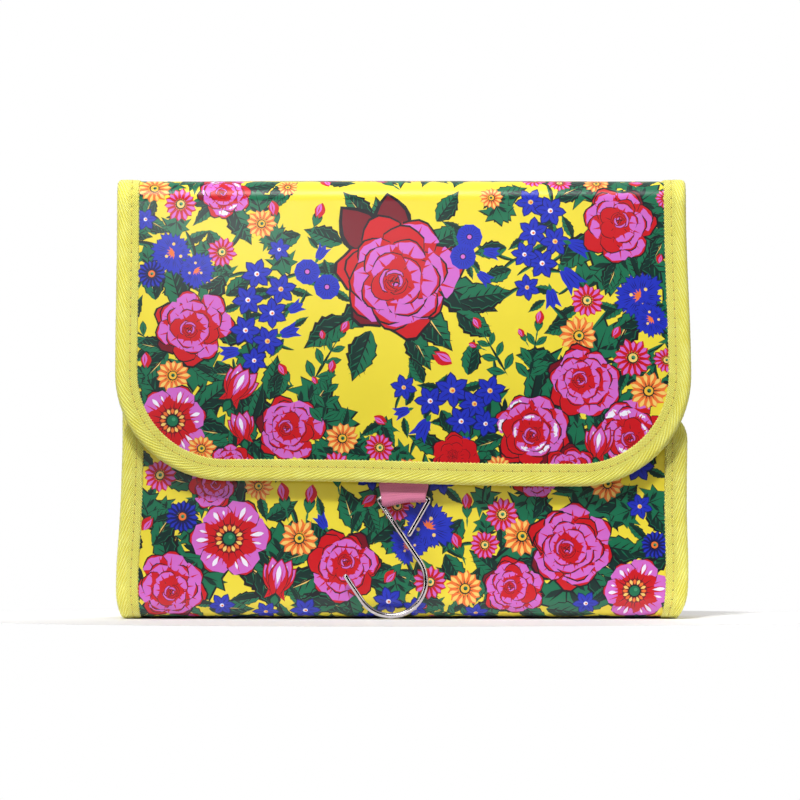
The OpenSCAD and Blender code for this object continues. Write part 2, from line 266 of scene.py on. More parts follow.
def half_width(run, s, inset):
    """Half the width of a run's cut at s."""
    half = HALF_W - inset
    if run.name.startswith("back"):
        return np.full_like(s, half)
    r = (FLAP_CORNER if run.name == "flap" else LIP_CORNER) - inset
    over = np.clip(s - (run.length - inset - r), 0, r)
    return half - r + np.sqrt(np.maximum(r * r - over * over, 0))


# ---- Meshes ----


def piece(name, points, faces, material, smooth_faces=True):
    """A mesh object from points in millimetres."""
    points = np.asarray(points, float).reshape(-1, 3) * MM
    sizes = np.array([len(f) for f in faces])
    mesh = bpy.data.meshes.new(name)
    mesh.vertices.add(len(points))
    mesh.vertices.foreach_set("co", points.ravel())
    mesh.loops.add(int(sizes.sum()))
    mesh.loops.foreach_set("vertex_index", np.concatenate([np.asarray(f, int) for f in faces]))
    mesh.polygons.add(len(faces))
    mesh.polygons.foreach_set("loop_start", np.concatenate([[0], np.cumsum(sizes)[:-1]]))
    mesh.polygons.foreach_set("use_smooth", [smooth_faces] * len(faces))
    mesh.update(calc_edges=True)
    mesh.validate()
    mesh.materials.append(material)
    o = bpy.data.objects.new(name, mesh)
    bpy.context.scene.collection.objects.link(o)
    return o


def grid_faces(rows, columns, wrap_columns=False, wrap_rows=False, first=0):
    """Quads between rows of points that were listed row by row."""
    faces = []
    for i in range(rows if wrap_rows else rows - 1):
        for j in range(columns if wrap_columns else columns - 1):
            a, b = i * columns, (i + 1) % rows * columns
            k = (j + 1) % columns
            faces.append((first + a + j, first + a + k, first + b + k, first + b + j))
    return faces


def bar_faces(rows, columns):
    """Quads round a bar listed ring by ring, and its two ends."""
    last = range((rows - 1) * columns, rows * columns)
    return grid_faces(rows, columns, wrap_columns=True) + [tuple(range(columns)), tuple(reversed(last))]


def unit(vectors):
    return vectors / np.linalg.norm(vectors, axis=-1, keepdims=True)


def distances(line):
    """How far each point of a line is from its first one, along the line."""
    return np.concatenate([[0], np.cumsum(np.linalg.norm(np.diff(line, axis=0), axis=1))])


def along_line(at, far, line):
    """Points of a line at some distances along it, where far has the distance of each point."""
    return np.stack([np.interp(at, far, column) for column in line.T], axis=1)


def box_of(node):
    """The low and the high corner of a CAD node's box, in millimetres."""
    return tuple(np.array(corner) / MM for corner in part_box(node))


def loop_round(x0, x1, z0, z1, y):
    """A closed rectangle that faces along Y."""
    return [(x0, y, z0), (x1, y, z0), (x1, y, z1), (x0, y, z1), (x0, y, z0)]


def add_uv(o, per_point):
    """A UV map from one pair of numbers for each vertex."""
    layer = o.data.uv_layers.new(name="UVMap")
    index = np.zeros(len(o.data.loops), int)
    o.data.loops.foreach_get("vertex_index", index)
    layer.data.foreach_set("uv", np.asarray(per_point, np.float32)[index].ravel())


def bend(o, run):
    """Bakes a piece's transform into its mesh. The points either side of the run's fold are worked out but
    not used.
    """
    (y0, z0), _ = run.bare(run.to_fold - 2, 0)
    (y1, z1), _ = run.bare(run.fold_end + 2, 0)
    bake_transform(o)


# ---- Materials ----


class Graph:
    """Short ways to build the nodes of a material or a world."""

    def __init__(self, owner):
        owner.use_nodes = True
        self.nodes, self.links = owner.node_tree.nodes, owner.node_tree.links

    def feed(self, socket, value):
        """Gives a socket its value, or links it to the output that feeds it."""
        if isinstance(value, bpy.types.NodeSocket):
            self.links.new(value, socket)
        else:
            socket.default_value = value

    def add(self, kind, settings=None, **inputs):
        """A shader node with its settings, and its inputs by name or as i0, i1 and so on."""
        n = self.nodes.new("ShaderNode" + kind)
        for key, value in (settings or {}).items():
            setattr(n, key, value)
        for key, value in inputs.items():
            self.feed(n.inputs[int(key[1:]) if key[1:].isdigit() else key.replace("_", " ")], value)
        return n

    def calc(self, operation, *values):
        inputs = {f"i{k}": value for k, value in enumerate(values)}
        return self.add("Math", {"operation": operation}, **inputs).outputs[0]

    def noise(self, at, scale, detail, **inputs):
        return self.add("TexNoise", Vector=at, Scale=scale, Detail=detail, **inputs).outputs["Fac"]

    def ranged(self, value, low_end, high_end, start=0.0, end=1.0):
        """A value that runs from start to end, moved to run from low_end to high_end."""
        n = self.add("MapRange", Value=value, From_Min=start, From_Max=end, To_Min=low_end, To_Max=high_end)
        return n.outputs["Result"]


class Finish(Graph):
    """A Principled material."""

    def __init__(self, name, rgb=None, roughness=0.5, **inputs):
        self.material = bpy.data.materials.new(name)
        super().__init__(self.material)
        self.shader = self.nodes["Principled BSDF"].inputs
        if rgb:
            self.shader["Base Color"].default_value = (*linear(rgb), 1)
        for key, value in {"Roughness": roughness, **inputs}.items():
            self.shader[key.replace("_", " ")].default_value = value

    def place(self):
        return self.add("TexCoord").outputs["Object"]

    def set(self, name, output):
        self.feed(self.shader[name], output)

    def bump(self, height, strength, distance):
        n = self.add("Bump", Height=height, Strength=strength, Distance=distance)
        self.set("Normal", n.outputs["Normal"])

    def ramp(self, value, first, last, positions=(0.0, 1.0)):
        """A blend between two linear colours."""
        n = self.add("ValToRGB", Fac=value)
        for element, colour, position in zip(n.color_ramp.elements, (first, last), positions):
            element.color, element.position = (*colour, 1), position
        return n.outputs["Color"]


def oilcloth():
    """Print under clear vinyl: colours from the mesh, a fine linen grain and a few soft scuffs."""
    m = Finish("printed_oilcloth", roughness=0.3, Coat_Weight=0.25, Coat_Roughness=0.2)
    printed = m.add("Attribute", {"attribute_name": "print"}).outputs["Color"]
    place = m.place()
    cloudy = m.noise(place, 38.0, 4.0)
    tint = m.add("VectorMath", {"operation": "SCALE"}, Vector=printed, Scale=m.ranged(cloudy, 0.93, 1.05))
    m.set("Base Color", tint.outputs["Vector"])
    m.set("Roughness", m.ranged(cloudy, 0.24, 0.4))
    m.bump(m.noise(place, 1900.0, 2.0), 0.16, 0.0002)
    return m.material


TWILL_TURN = math.radians(20)
TWILL_PITCH = 1.2
TWILL_END = 5.7
YARN_ALONG, YARN_ACROSS = 1.15, 1.05
SEAM_IN = 6.7
SEAM_E = SEAM_IN + (math.pi / 2 - 1) * SECTION / 2
SEAM_PITCH = 4.2
HOLE_ALONG, HOLE_ACROSS = 0.026, 0.028


def tape_material():
    """Woven binding: u runs along the tape and v across it from its folded edge, both in centimetres."""
    m = Finish("edge_binding", roughness=0.75, Sheen_Weight=0.35, Sheen_Roughness=0.5)
    uv = m.add("UVMap", {"uv_map": "UVMap"}).outputs["UV"]
    split = m.add("SeparateXYZ", Vector=uv).outputs
    along, across = split["X"], split["Y"]

    def phase(value, pitch, share=1.0):
        """The phase of a wave with that pitch in millimetres."""
        return m.calc("MULTIPLY", value, 20 * math.pi * share / pitch)

    ridge = m.calc("SINE", m.calc("SUBTRACT", phase(across, TWILL_PITCH, math.cos(TWILL_TURN)),
                                  phase(along, TWILL_PITCH, math.sin(TWILL_TURN))))
    yarn = m.calc("MULTIPLY", m.calc("SINE", phase(along, YARN_ALONG)),
                  m.calc("SINE", phase(across, YARN_ACROSS)))
    twill_share = m.calc("SUBTRACT", 1.0, m.ranged(across, 0.0, 1.0, TWILL_END / 10, TWILL_END / 10 + 0.1))
    yarn_share = m.calc("SUBTRACT", 1.9, m.calc("MULTIPLY", twill_share, 1.3))
    relief = m.calc("ADD", m.calc("MULTIPLY", ridge, m.calc("MULTIPLY", twill_share, 0.6)),
                    m.calc("MULTIPLY", yarn, yarn_share))
    from_seam = m.calc("ABSOLUTE", m.calc("SUBTRACT", across, SEAM_E / 10))
    from_stitch = m.calc("PINGPONG", along, SEAM_PITCH / 20)
    hole = m.calc("MULTIPLY", m.calc("LESS_THAN", from_stitch, HOLE_ALONG),
                  m.calc("LESS_THAN", from_seam, HOLE_ACROSS))
    # The colour is darker in the grooves of the twill and the weave and lighter on their ridges: painted
    # shade and painted highlight. The noise is the yarn's own uneven tone.
    tone = m.calc("ADD", m.calc("MULTIPLY", relief, 0.45), m.calc("MULTIPLY", m.noise(uv, 1.4, 3.0), 0.62))
    relief_shaded_yellow = m.ramp(tone, linear((232, 219, 54)), linear((255, 255, 146)), (0.0, 0.7))
    # The needle holes are a darker olive: painted shade inside the holes.
    with_shaded_holes = m.add("Mix", {"data_type": "RGBA"}, Factor=hole, i6=relief_shaded_yellow, i7=(*linear((150, 120, 20)), 1))
    m.set("Base Color", with_shaded_holes.outputs[2])
    m.bump(relief, 0.7, 0.0002)
    return m.material


def woven(name, rgb, pitch, roughness, contrast=0.12):
    """Plain woven cloth whose threads run along X and across it, in object space."""
    m = Finish(name, roughness=roughness, Sheen_Weight=0.25)
    place = m.place()
    split = m.add("SeparateXYZ", Vector=place).outputs
    waves = [m.calc("SINE", m.calc("MULTIPLY", value, 2 * math.pi / (pitch * MM)))
             for value in (split["X"], m.calc("ADD", split["Y"], split["Z"]))]
    check = m.calc("MULTIPLY", *waves)
    cloudy = m.calc("MULTIPLY_ADD", m.noise(place, 55.0, 4.0), 0.55, 0.22)
    # The weave's check makes the colour darker where the threads dip and lighter on their crowns: painted
    # shade and painted highlight. The cloudy noise is the cloth's own uneven tone.
    tone = m.calc("MULTIPLY_ADD", check, 0.25, cloudy)
    shades = [[min(1, c * k) for c in linear(rgb)] for k in (1 - 2 * contrast, 1 + contrast)]
    m.set("Base Color", m.ramp(tone, *shades, (0.2, 0.8)))
    m.bump(check, 0.4, 0.0001)
    return m.material


def metal(name, rgb, roughness):
    """Plated metal with faint fingermarks in its gloss."""
    m = Finish(name, rgb, roughness, Metallic=1.0)
    smear = m.noise(m.place(), 260.0, 3.0)
    m.set("Roughness", m.ranged(smear, roughness * 0.7, roughness * 1.6))
    m.bump(smear, 0.05, 0.0001)
    return m.material


def clear_vinyl():
    """Soft clear sheet with long waves and a little haze."""
    m = Finish("clear_vinyl", (232, 240, 243), 0.1, Alpha=0.11)
    waves = m.noise(m.place(), 32.0, 2.0, Distortion=0.6)
    m.set("Roughness", m.ranged(waves, 0.08, 0.2))
    m.bump(waves, 0.7, 0.0016)
    return m.material


def fuzzy(name, rgb, scale):
    """Hook or loop tape: a dense pile of tiny tufts."""
    m = Finish(name, rgb, 0.9, Sheen_Weight=0.6, Sheen_Roughness=0.4)
    tufts = m.add("TexVoronoi", Vector=m.place(), Scale=scale).outputs["Distance"]
    # The colour falls to under half between the tufts: painted shade in the gaps of the pile.
    m.set("Base Color", m.ramp(tufts, linear(rgb), [c * 0.45 for c in linear(rgb)]))
    m.bump(tufts, -0.8, 0.0006)
    return m.material


OILCLOTH = oilcloth()
VINYL = clear_vinyl()
CLOSURE = {"flap_closure_hook_strips": fuzzy("closure_hooks", (226, 206, 50), 900.0),
           "front_closure_loop_strips": fuzzy("closure_loops", (214, 190, 44), 1500.0)}
BINDING = tape_material()
LINING = woven("lining_nylon", (222, 120, 158), 0.5, 0.42)
RIBBON = woven("grosgrain_ribbon", (218, 124, 158), 0.7, 0.75, 0.2)
POUCH = woven("pouch_nylon", (226, 126, 164), 0.6, 0.5)
POUCH_TAPE = woven("pouch_tape", (232, 218, 72), 0.7, 0.7, 0.14)
CHROME = metal("hook_wire_chrome", (206, 200, 202), 0.13)
ZIP_METAL = metal("zip_nickel", (222, 219, 214), 0.42)
THREAD = Finish("stitching_thread", (236, 218, 84), 0.6, Sheen_Weight=0.3).material
PINK_THREAD = Finish("pink_thread", (196, 84, 132), 0.6, Sheen_Weight=0.3).material
COIL = Finish("zip_coil_nylon", (232, 214, 60), 0.35).material
NET = Finish("pouch_net", (226, 130, 168), 0.55).material

# ---- Print: shapes ----


def turned(points, degrees, size=1.0, at=(0.0, 0.0)):
    a = math.radians(degrees)
    turn = np.array([[math.cos(a), math.sin(a)], [-math.sin(a), math.cos(a)]])
    return np.asarray(points, float) @ turn * size + np.asarray(at, float)


class Flower(list):
    """Shapes as (colour, points), from the bottom up, about the flower's centre and about 1 in radius."""

    def paint(self, colour, points, degrees=0.0, size=1.0, at=(0.0, 0.0)):
        self.append((colour, turned(points, degrees, size, at)))


def disc(radius, corners=10, at=(0, 0)):
    a = np.linspace(0, 2 * math.pi, corners, endpoint=False)
    return np.stack([at[0] + radius * np.cos(a), at[1] + radius * np.sin(a)], axis=1)


def petal(near, far, width, blunt=0.75, steps=4):
    """A petal from near to far along +x, widest past its middle as blunt falls."""
    t = np.linspace(0, 1, steps + 2)[1:-1]
    side = width / 2 * np.sin(math.pi * t ** (1 / blunt))
    x = near + (far - near) * t
    top = np.stack([x, side], axis=1)
    return np.concatenate([[[near, 0]], top, [[far, 0]], (top * (1, -1))[::-1]])


def kite(near, far, width, wide_at=0.4, skew=0.0):
    """A thin four-cornered stroke along +x."""
    mid = near + (far - near) * wide_at
    return np.array([[near, 0], [mid, -width / 2 + skew], [far, skew], [mid, width / 2 + skew]])


def lobe(near, far, span, wave=2, depth=0.03, steps=9):
    """A broad petal with round shoulders, across span degrees about the middle."""
    a = np.linspace(-1, 1, steps + 1)
    r = near + (far - near) * np.cos(a * math.pi / 2) ** 0.42 * (1 + depth * np.cos(wave * math.pi * a))
    turn = np.radians(a * span / 2)
    return np.stack([r * np.cos(turn), r * np.sin(turn)], axis=1)


def crescent(far, span, thick, wave=3, depth=0.03, steps=7):
    """The part of a petal that shows past the petals in front of it."""
    a = np.linspace(-1, 1, steps + 1)
    turn = np.radians(a * span / 2)
    rim = far * (1 + depth * np.cos(wave * math.pi * a)) - thick * 0.35 * np.abs(a) ** 3
    inner = rim - thick * (0.12 + 0.88 * np.cos(a * math.pi / 2) ** 0.7)
    outer = np.stack([rim * np.cos(turn), rim * np.sin(turn)], axis=1)
    return np.concatenate([outer, np.stack([inner * np.cos(turn), inner * np.sin(turn)], axis=1)[::-1]])


def rose(rng, pale="orchid", deep="red", rings=3, gleam=None):
    """A full rose seen a little from below: rings of round petals that close on a dark heart."""
    f = Flower()
    tilt = rng.uniform(0, 360)
    for i in range(3):
        back = turned(lobe(0.1, 1.08, 78, 3, 0.04), tilt + i * 52)
        f.paint("ink", back * 1.05)
        f.paint("wine" if i % 2 else deep, back)
    for ring in range(rings):
        shift = turned([(0.17 * ring / rings, 0)], tilt + 52)[0]
        count = 7 - ring
        first = rng.uniform(0, 360)
        for i in range(count):
            mid = first + 360 * i / count + rng.uniform(-9, 9)
            far = (1.0 - 0.68 * ring / rings) * rng.uniform(0.9, 1.04)
            span = 360 / count * rng.uniform(1.35, 1.7)
            edge = lobe(far * 0.2, far, span, rng.integers(2, 5), 0.035)
            f.paint("ink", edge, mid, 1.04, shift)
            f.paint(deep, edge, mid, 1, shift)
            side = mid + rng.uniform(-0.12, 0.12) * span
            if rng.random() < 0.84:
                thick = far * rng.uniform(0.24, 0.4)
                face = crescent(far * 0.95, span * rng.uniform(0.55, 0.8), thick, rng.integers(2, 5))
                f.paint(pale, face, side, 1, shift)
                if gleam and rng.random() < 0.55:
                    glint = crescent(far * 0.9, span * 0.34, thick * 0.5)
                    f.paint(gleam, glint, side + span * 0.08, 1, shift)
                for k in np.linspace(-0.26, 0.26, 3) + rng.uniform(-0.05, 0.05):
                    streak = kite(far - thick * 1.35, far * rng.uniform(0.84, 0.97), 0.05, 0.3, 0.02)
                    f.paint(deep, streak, side + k * span, 1, shift)
            for k in (-0.3, 0.02, 0.32) if ring < 2 else (0.1,):
                line = kite(far * 0.4, far * rng.uniform(0.55, 0.76), 0.02, 0.2, 0.015)
                f.paint("ink", line, mid + k * span, 1, shift)
    heart = turned([(0.17, 0)], tilt + 52)[0]
    f.paint(deep, lobe(0.16, 0.26, 356, 6, 0.08, 14), at=heart)
    for i in range(7):
        far = 0.25 - 0.028 * i
        f.paint("ink", crescent(far * 1.06, 128, 0.075), tilt + i * 137.5, 1, heart)
        f.paint((pale, deep)[i % 2], crescent(far, 112, 0.05), tilt + i * 137.5, 1, heart)
    for i in range(4):
        f.paint("ink", kite(0.0, 0.13, 0.03, 0.3), tilt + 80 * i, 1, heart)
    return f


def tulip(rng):
    """A half-open cup of long petals that point along +x."""
    f = Flower()
    petals = ((-38, 0.86, 0.6), (38, 0.86, 0.6), (-19, 1.0, 0.6), (19, 1.0, 0.6), (0, 0.93, 0.62))
    for turn, reach, width in petals:
        body = petal(-0.55, reach, width, 0.8, 6)
        f.paint("ink", body * (1.03, 1.07), turn)
        f.paint("red", body, turn)
        f.paint("orchid", petal(-0.12, reach * 0.95, width * 0.68, 0.8, 5), turn)
        f.paint("white", petal(0.05, reach * 0.75, width * 0.26, 0.7), turn + 2)
        for k in (-0.17, 0.17):
            f.paint("red", kite(-0.3, reach * rng.uniform(0.6, 0.85), 0.05, 0.3) + (0, k * width), turn)
        f.paint("ink", kite(-0.45, reach * 0.25, 0.03, 0.3), turn)
    f.paint("leaf_dark", petal(-0.75, -0.2, 0.42))
    f.paint("leaf", petal(-0.72, -0.28, 0.26))
    return f


def anemone(rng):
    """Six broad petals round a button with a ring of stamens."""
    f = Flower()
    first = rng.uniform(0, 60)
    for i in range(6):
        mid = first + 60 * i + rng.uniform(-5, 5)
        reach = rng.uniform(0.86, 1.04)
        edge = lobe(0.15, reach, 88, 3, 0.04)
        f.paint("ink", edge, mid, 1.04)
        f.paint("red", edge, mid)
        f.paint("orchid", crescent(reach * 0.96, 66, reach * 0.42, 3), mid + 3)
        for k in (-24, -12, -2, 9, 20):
            f.paint("red", kite(0.38, reach * rng.uniform(0.66, 0.92), 0.06, 0.2), mid + k)
        f.paint("white", petal(0.5, reach * 0.86, 0.11), mid + 4)
        f.paint("white", petal(0.56, reach * 0.8, 0.06), mid - 14)
        for k in (-30, -8, 14):
            f.paint("ink", kite(0.25, rng.uniform(0.46, 0.62), 0.025), mid + k)
    f.paint("wine", disc(0.36, 14))
    for i in range(16):
        f.paint("cream" if i % 2 else "orange", petal(0.17, 0.34, 0.09), i * 22.5)
    f.paint("ink", disc(0.19, 12))
    f.paint("leaf", disc(0.15))
    f.paint("leaf_light", disc(0.055, 7, (0.03, 0.04)))
    return f


def daisy(rng, pale="cream", deep="orange", button="gold", count=13):
    """Narrow petals, streaked from the middle, round a two-tone button."""
    f = Flower()
    first = rng.uniform(0, 30)
    for i in range(count):
        mid = first + 360 * i / count
        reach = rng.uniform(0.86, 1.04)
        f.paint(deep, petal(0.16, reach, 0.4, 0.62, 3), mid)
        f.paint(pale, petal(0.36, reach * 0.95, 0.2, 0.6, 3), mid + 3)
        f.paint("ink", kite(0.24, 0.62, 0.035), mid + 180 / count)
    f.paint("ink", disc(0.29, 12))
    f.paint(button, disc(0.23, 11, (0.01, 0.01)))
    f.paint("leaf" if button == "gold" else "leaf_light", disc(0.11, 8, (0.03, 0.02)))
    f.paint("ink", disc(0.05, 6, (0.0, -0.02)))
    return f


def star(rng):
    """Six pointed petals."""
    f = Flower()
    first = rng.uniform(0, 60)
    for i in range(6):
        f.paint("navy", petal(0.0, 1.07, 0.66, 0.92, 3), first + 60 * i)
    for i in range(6):
        f.paint("blue", petal(0.05, 0.98, 0.54, 0.92, 3), first + 60 * i)
        f.paint("navy", kite(0.22, 0.86, 0.045, 0.3), first + 60 * i)
        f.paint("navy", kite(0.2, 0.6, 0.03, 0.3), first + 60 * i + 9)
    f.paint("cream" if rng.random() < 0.5 else "white", disc(0.17, 8))
    f.paint("orange", disc(0.09, 6, (0.03, -0.02)))
    return f


def pom(rng):
    """A round, scalloped flower."""
    a = np.linspace(0, 2 * math.pi, 40, endpoint=False)
    r = 1 - 0.06 * np.abs(np.sin(a * 5))
    f = Flower()
    f.paint("blue", np.stack([r * np.cos(a), r * np.sin(a)], axis=1))
    for i in range(20):
        f.paint("navy", kite(0.32, 0.84, 0.035, 0.5), i * 18 + 5)
    f.paint("navy", disc(0.26))
    f.paint("orchid", disc(0.17, 8))
    return f


def bell(rng):
    """A bell flower that opens along +x."""
    side = [(-0.5, 0.26), (-0.1, 0.42), (0.35, 0.46), (0.95, 0.62), (0.62, 0.22)]
    f = Flower()
    f.paint("blue", [(-0.6, 0), *((x, -y) for x, y in side), (1.0, 0.0), *reversed(side)])
    for k in (-0.2, 0.0, 0.2):
        f.paint("navy", kite(-0.35, 0.7, 0.05, 0.6), k * 60, 1, (0, k))
    f.paint("leaf", petal(-1.0, -0.4, 0.3))
    return f


def cornflower(rng):
    """A round head of toothed petals over a calyx, with three small pale eyes."""
    side = [(0, 0.08), (0.5, 0.26), (0.86, 0.34), (0.8, 0.17), (1.04, 0.13)]
    toothed = [*((x, -y) for x, y in side), (0.9, 0.0), *reversed(side)]
    f = Flower()
    f.paint("leaf_dark", petal(-0.9, -0.1, 0.4))
    f.paint("leaf", petal(-0.85, -0.2, 0.26))
    for i in range(9):
        mid = i * 40 + rng.uniform(-8, 8)
        size = rng.uniform(0.82, 1.0) * (0.82 if 120 < mid < 240 else 1.0)
        f.paint("navy", toothed, mid, size * 1.05)
        f.paint("blue", toothed, mid, size)
        for k in (-9, 0, 9):
            f.paint("navy", kite(0.3, 0.78 * size, 0.03), mid + k)
    for turn in (-70, -40, -12, 14, 40, 68):
        f.paint("orange", kite(-0.05, 0.3, 0.09, 0.5), turn)
    for turn in (10, 130, 250):
        f.paint("cream", disc(0.07, 7), at=turned((0.34, 0), turn))
    return f


def bud(rng):
    """A closed bud that points along +x."""
    f = Flower()
    f.paint("leaf_dark", petal(-1.0, 0.45, 0.8, 0.9))
    f.paint("red", petal(-0.35, 1.0, 0.82, 0.9, 5))
    f.paint("orchid", petal(-0.1, 0.9, 0.4, 0.8), at=(0, 0.1))
    f.paint("red", kite(0.0, 0.85, 0.09), at=(0, 0.1))
    for turn in (-30, 0, 30):
        f.paint("leaf", petal(-0.15, 0.75, 0.26, 1.0, 3), turn, 1, (-0.75, 0))
    f.paint("leaf", kite(-1.7, -0.6, 0.16, 0.5))
    return f


def leaf(rng, broad=0.5):
    """A toothed leaf along +x from 0 to 1, dark on one side, with a midrib and veins."""
    t = np.array([0.06, 0.18, 0.22, 0.36, 0.4, 0.54, 0.58, 0.72, 0.76, 0.88])
    side = broad / 2 * np.sin(math.pi * t ** 0.85) * np.tile([1.0, 0.84], 5)
    top = np.stack([t, side], axis=1)
    under = (top * (1, -1))[::-1]
    f = Flower()
    f.paint("ink", np.concatenate([[[0, 0]], top * (1, 1.12), [[1.05, 0]], under * (1, 1.3)]))
    f.paint("leaf", np.concatenate([[[0, 0]], top, [[1, 0]], under]))
    f.paint("leaf_dark", np.concatenate([[[0, 0]], [[1, 0]], under * (1, 0.92)]))
    for k in np.linspace(0.16, 0.78, 5):
        reach = broad * 0.62 * math.sin(math.pi * k)
        vein = turned(kite(0, reach * rng.uniform(0.8, 1.05), 0.03, 0.3), 42, 1, (k, 0))
        f.paint("ink", vein)
        if broad > 0.4:
            f.paint("leaf", vein * (1, -0.86), at=(0.015, 0))
    if broad > 0.42 and rng.random() < 0.35:
        f.paint("cream", kite(0.2, 0.72, 0.06, 0.4, 0.01))
    f.paint("ink", kite(0.0, 0.95, 0.04, 0.2))
    return f


def slim_leaf(rng):
    return leaf(rng, 0.34)


def ivy(rng):
    """A lobed leaf along +x with a dark outline and ribs."""
    tips = [(0, 0), (0.3, 0.3), (0.2, 0.56), (0.5, 0.36), (0.62, 0.52), (0.7, 0.26), (1.0, 0.12), (0.86, 0)]
    rim = np.array(tips + [(x, -y) for x, y in tips[-2:0:-1]])
    f = Flower()
    f.paint("ink", rim * 1.08 - (0.03, 0.02))
    f.paint("leaf", rim)
    for x, turn, reach in ((0.08, 58, 0.46), (0.34, 48, 0.42), (0.08, -58, 0.46), (0.34, -48, 0.42)):
        f.paint("ink", kite(0, reach, 0.05, 0.3), turn, 1, (x, 0))
        f.paint("leaf_dark", petal(0.06, reach, 0.1), turn - 14, 1, (x, 0))
    f.paint("ink", kite(-0.15, 0.88, 0.05, 0.3))
    return f


def blade(rng):
    """A long grassy leaf that curves."""
    t = np.linspace(0, 1, 7)
    middle = np.stack([t, 0.22 * t * t], axis=1)
    half = np.stack([0 * t, 0.075 * np.sin(math.pi * (0.1 + 0.9 * t))], axis=1)
    under = (middle - half)[::-1][1:]
    f = Flower()
    ring = np.concatenate([middle + half, under])
    f.paint("ink", ring, at=(0.0, -0.03))
    f.paint("leaf", ring)
    f.paint("leaf_dark", np.concatenate([middle, under]))
    return f


def sprig(rng):
    """A leafy stem along +x with a bud at its end and one beside it."""
    f = Flower()
    f.paint("leaf_dark", kite(-1.0, 0.7, 0.1, 0.3))
    small = petal(0, 1, 0.42, 0.9, 3)
    leaflets = ((-0.9, 50, 0.62), (-0.8, -55, 0.6), (-0.4, 48, 0.55), (-0.3, -50, 0.52),
                (0.1, 40, 0.45), (0.1, -42, 0.45))
    for x, turn, size in leaflets:
        f.paint("leaf_dark", small * (1.05, 1.15), turn, size, (x, 0))
        f.paint("leaf", small, turn, size, (x, 0))
        f.paint("ink", kite(0.1, 0.85, 0.06), turn, size, (x, 0))
    for colour, points in bud(rng):
        f.paint(colour, points, 0, 0.34, (0.85, 0))
        f.paint(colour, points, 38, 0.24, (0.35, 0.42))
    return f


def magenta_daisy(rng):
    return daisy(rng, "orchid", "red", "cream", 14)


def blue_daisy(rng):
    return daisy(rng, "blue", "navy", "orange", 16)


def full_rose(rng):
    return rose(rng, rings=4)


def poppy(rng):
    return rose(rng, "red", "red", 2)


def gleaming_rose(rng):
    return rose(rng, gleam="white")


def wedge(rng):
    """A dark petal that shows behind a rose."""
    return Flower([("ink", petal(-0.9, 1.0, 1.2, 0.9, 6)), ("wine", petal(-0.8, 0.9, 0.95, 0.9, 5))])


# ---- Print: where the flowers lie, as (what, x, height, radius, turn) ----

FLAP_FLOWERS = [
    (wedge, -17, 176, 17, 130), (wedge, -4, 181, 15, 100), (full_rose, 0, 158, 27, 0), (bud, 16, 121, 8, -30),
    (pom, -43, 159, 6, 0), (pom, -34, 152, 6, 0), (pom, 31, 175, 6, 0), (pom, 28, 166, 6, 0),
    (bell, -37, 167, 5, 60), (bell, 40, 168, 5, -10), (bell, 37, 157, 5, -40), (bud, -58, 186, 6, 100),
    (bud, -38, 185, 6, 70), (gleaming_rose, -80, 196, 12, 0), (daisy, -64, 181, 7, 0),
    (daisy, -113, 198, 8, 0), (magenta_daisy, -101, 190, 8, 0), (magenta_daisy, -82, 168, 7, 0),
    (cornflower, -104, 168, 11, 200), (cornflower, -94, 160, 9, 320), (blue_daisy, -114, 158, 7, 0),
    (rose, -94, 134, 17, 0), (daisy, -104, 111, 8, 0), (bud, -116, 116, 6, 90), (tulip, -76, 103, 14, 60),
    (anemone, -104, 90, 17, 0), (rose, -50, 86, 15, 0), (tulip, -72, 84, 11, 100), (daisy, -27, 82, 8, 0),
    (magenta_daisy, -10, 78, 7, 0), (sprig, -33, 121, 15, 60), (sprig, -34, 102, 14, 80),
    (star, -66, 158, 7, 0), (star, -55, 151, 7, 0), (star, -70, 146, 7, 0), (star, -59, 140, 7, 0),
    (star, -71, 132, 7, 0), (star, -61, 127, 7, 0), (star, -67, 118, 6, 0), (bell, -52, 131, 6, 20),
    (bell, -77, 122, 6, 190), (bell, -49, 142, 5, 30), (star, 59, 191, 7, 0), (star, 68, 187, 7, 0),
    (star, 60, 177, 7, 0), (star, 70, 173, 7, 0), (star, 64, 163, 7, 0), (star, 56, 167, 6, 0),
    (bell, 80, 171, 7, -20), (bell, 76, 157, 8, -50), (bell, 68, 148, 6, -80), (star, 57, 152, 6, 0),
    (rose, 98, 180, 17, 0), (cornflower, 108, 148, 12, 160), (cornflower, 113, 138, 9, 220),
    (magenta_daisy, 84, 146, 8, 0), (daisy, 80, 130, 9, 0), (sprig, 41, 124, 14, 120),
    (sprig, 60, 124, 15, 80), (rose, 83, 109, 16, 0), (gleaming_rose, 58, 88, 17, 0),
    (gleaming_rose, 104, 86, 16, 0), (daisy, 111, 105, 9, 0), (magenta_daisy, 104, 120, 9, 0),
    (magenta_daisy, 119, 119, 6, 0), (star, 1, 106, 6, 0), (star, 13, 100, 7, 0), (star, 23, 105, 8, 0),
    (star, 33, 99, 7, 0), (star, 40, 105, 7, 0), (star, 27, 91, 7, 0), (star, 38, 90, 6, 0),
    (bell, 1, 95, 5, 200), (bell, 10, 88, 7, 240), (bell, 29, 81, 6, 260), (poppy, 25, 74, 11, 0),
    (tulip, 88, 78, 12, 80), (bud, 96, 130, 5, 60), (daisy, -91, 77, 7, 0), (rose, -78, 70, 10, 0),
    (rose, 76, 69, 11, 0), (magenta_daisy, -30, 69, 7, 0), (daisy, 4, 66, 8, 0), (daisy, 44, 70, 6, 0),
]
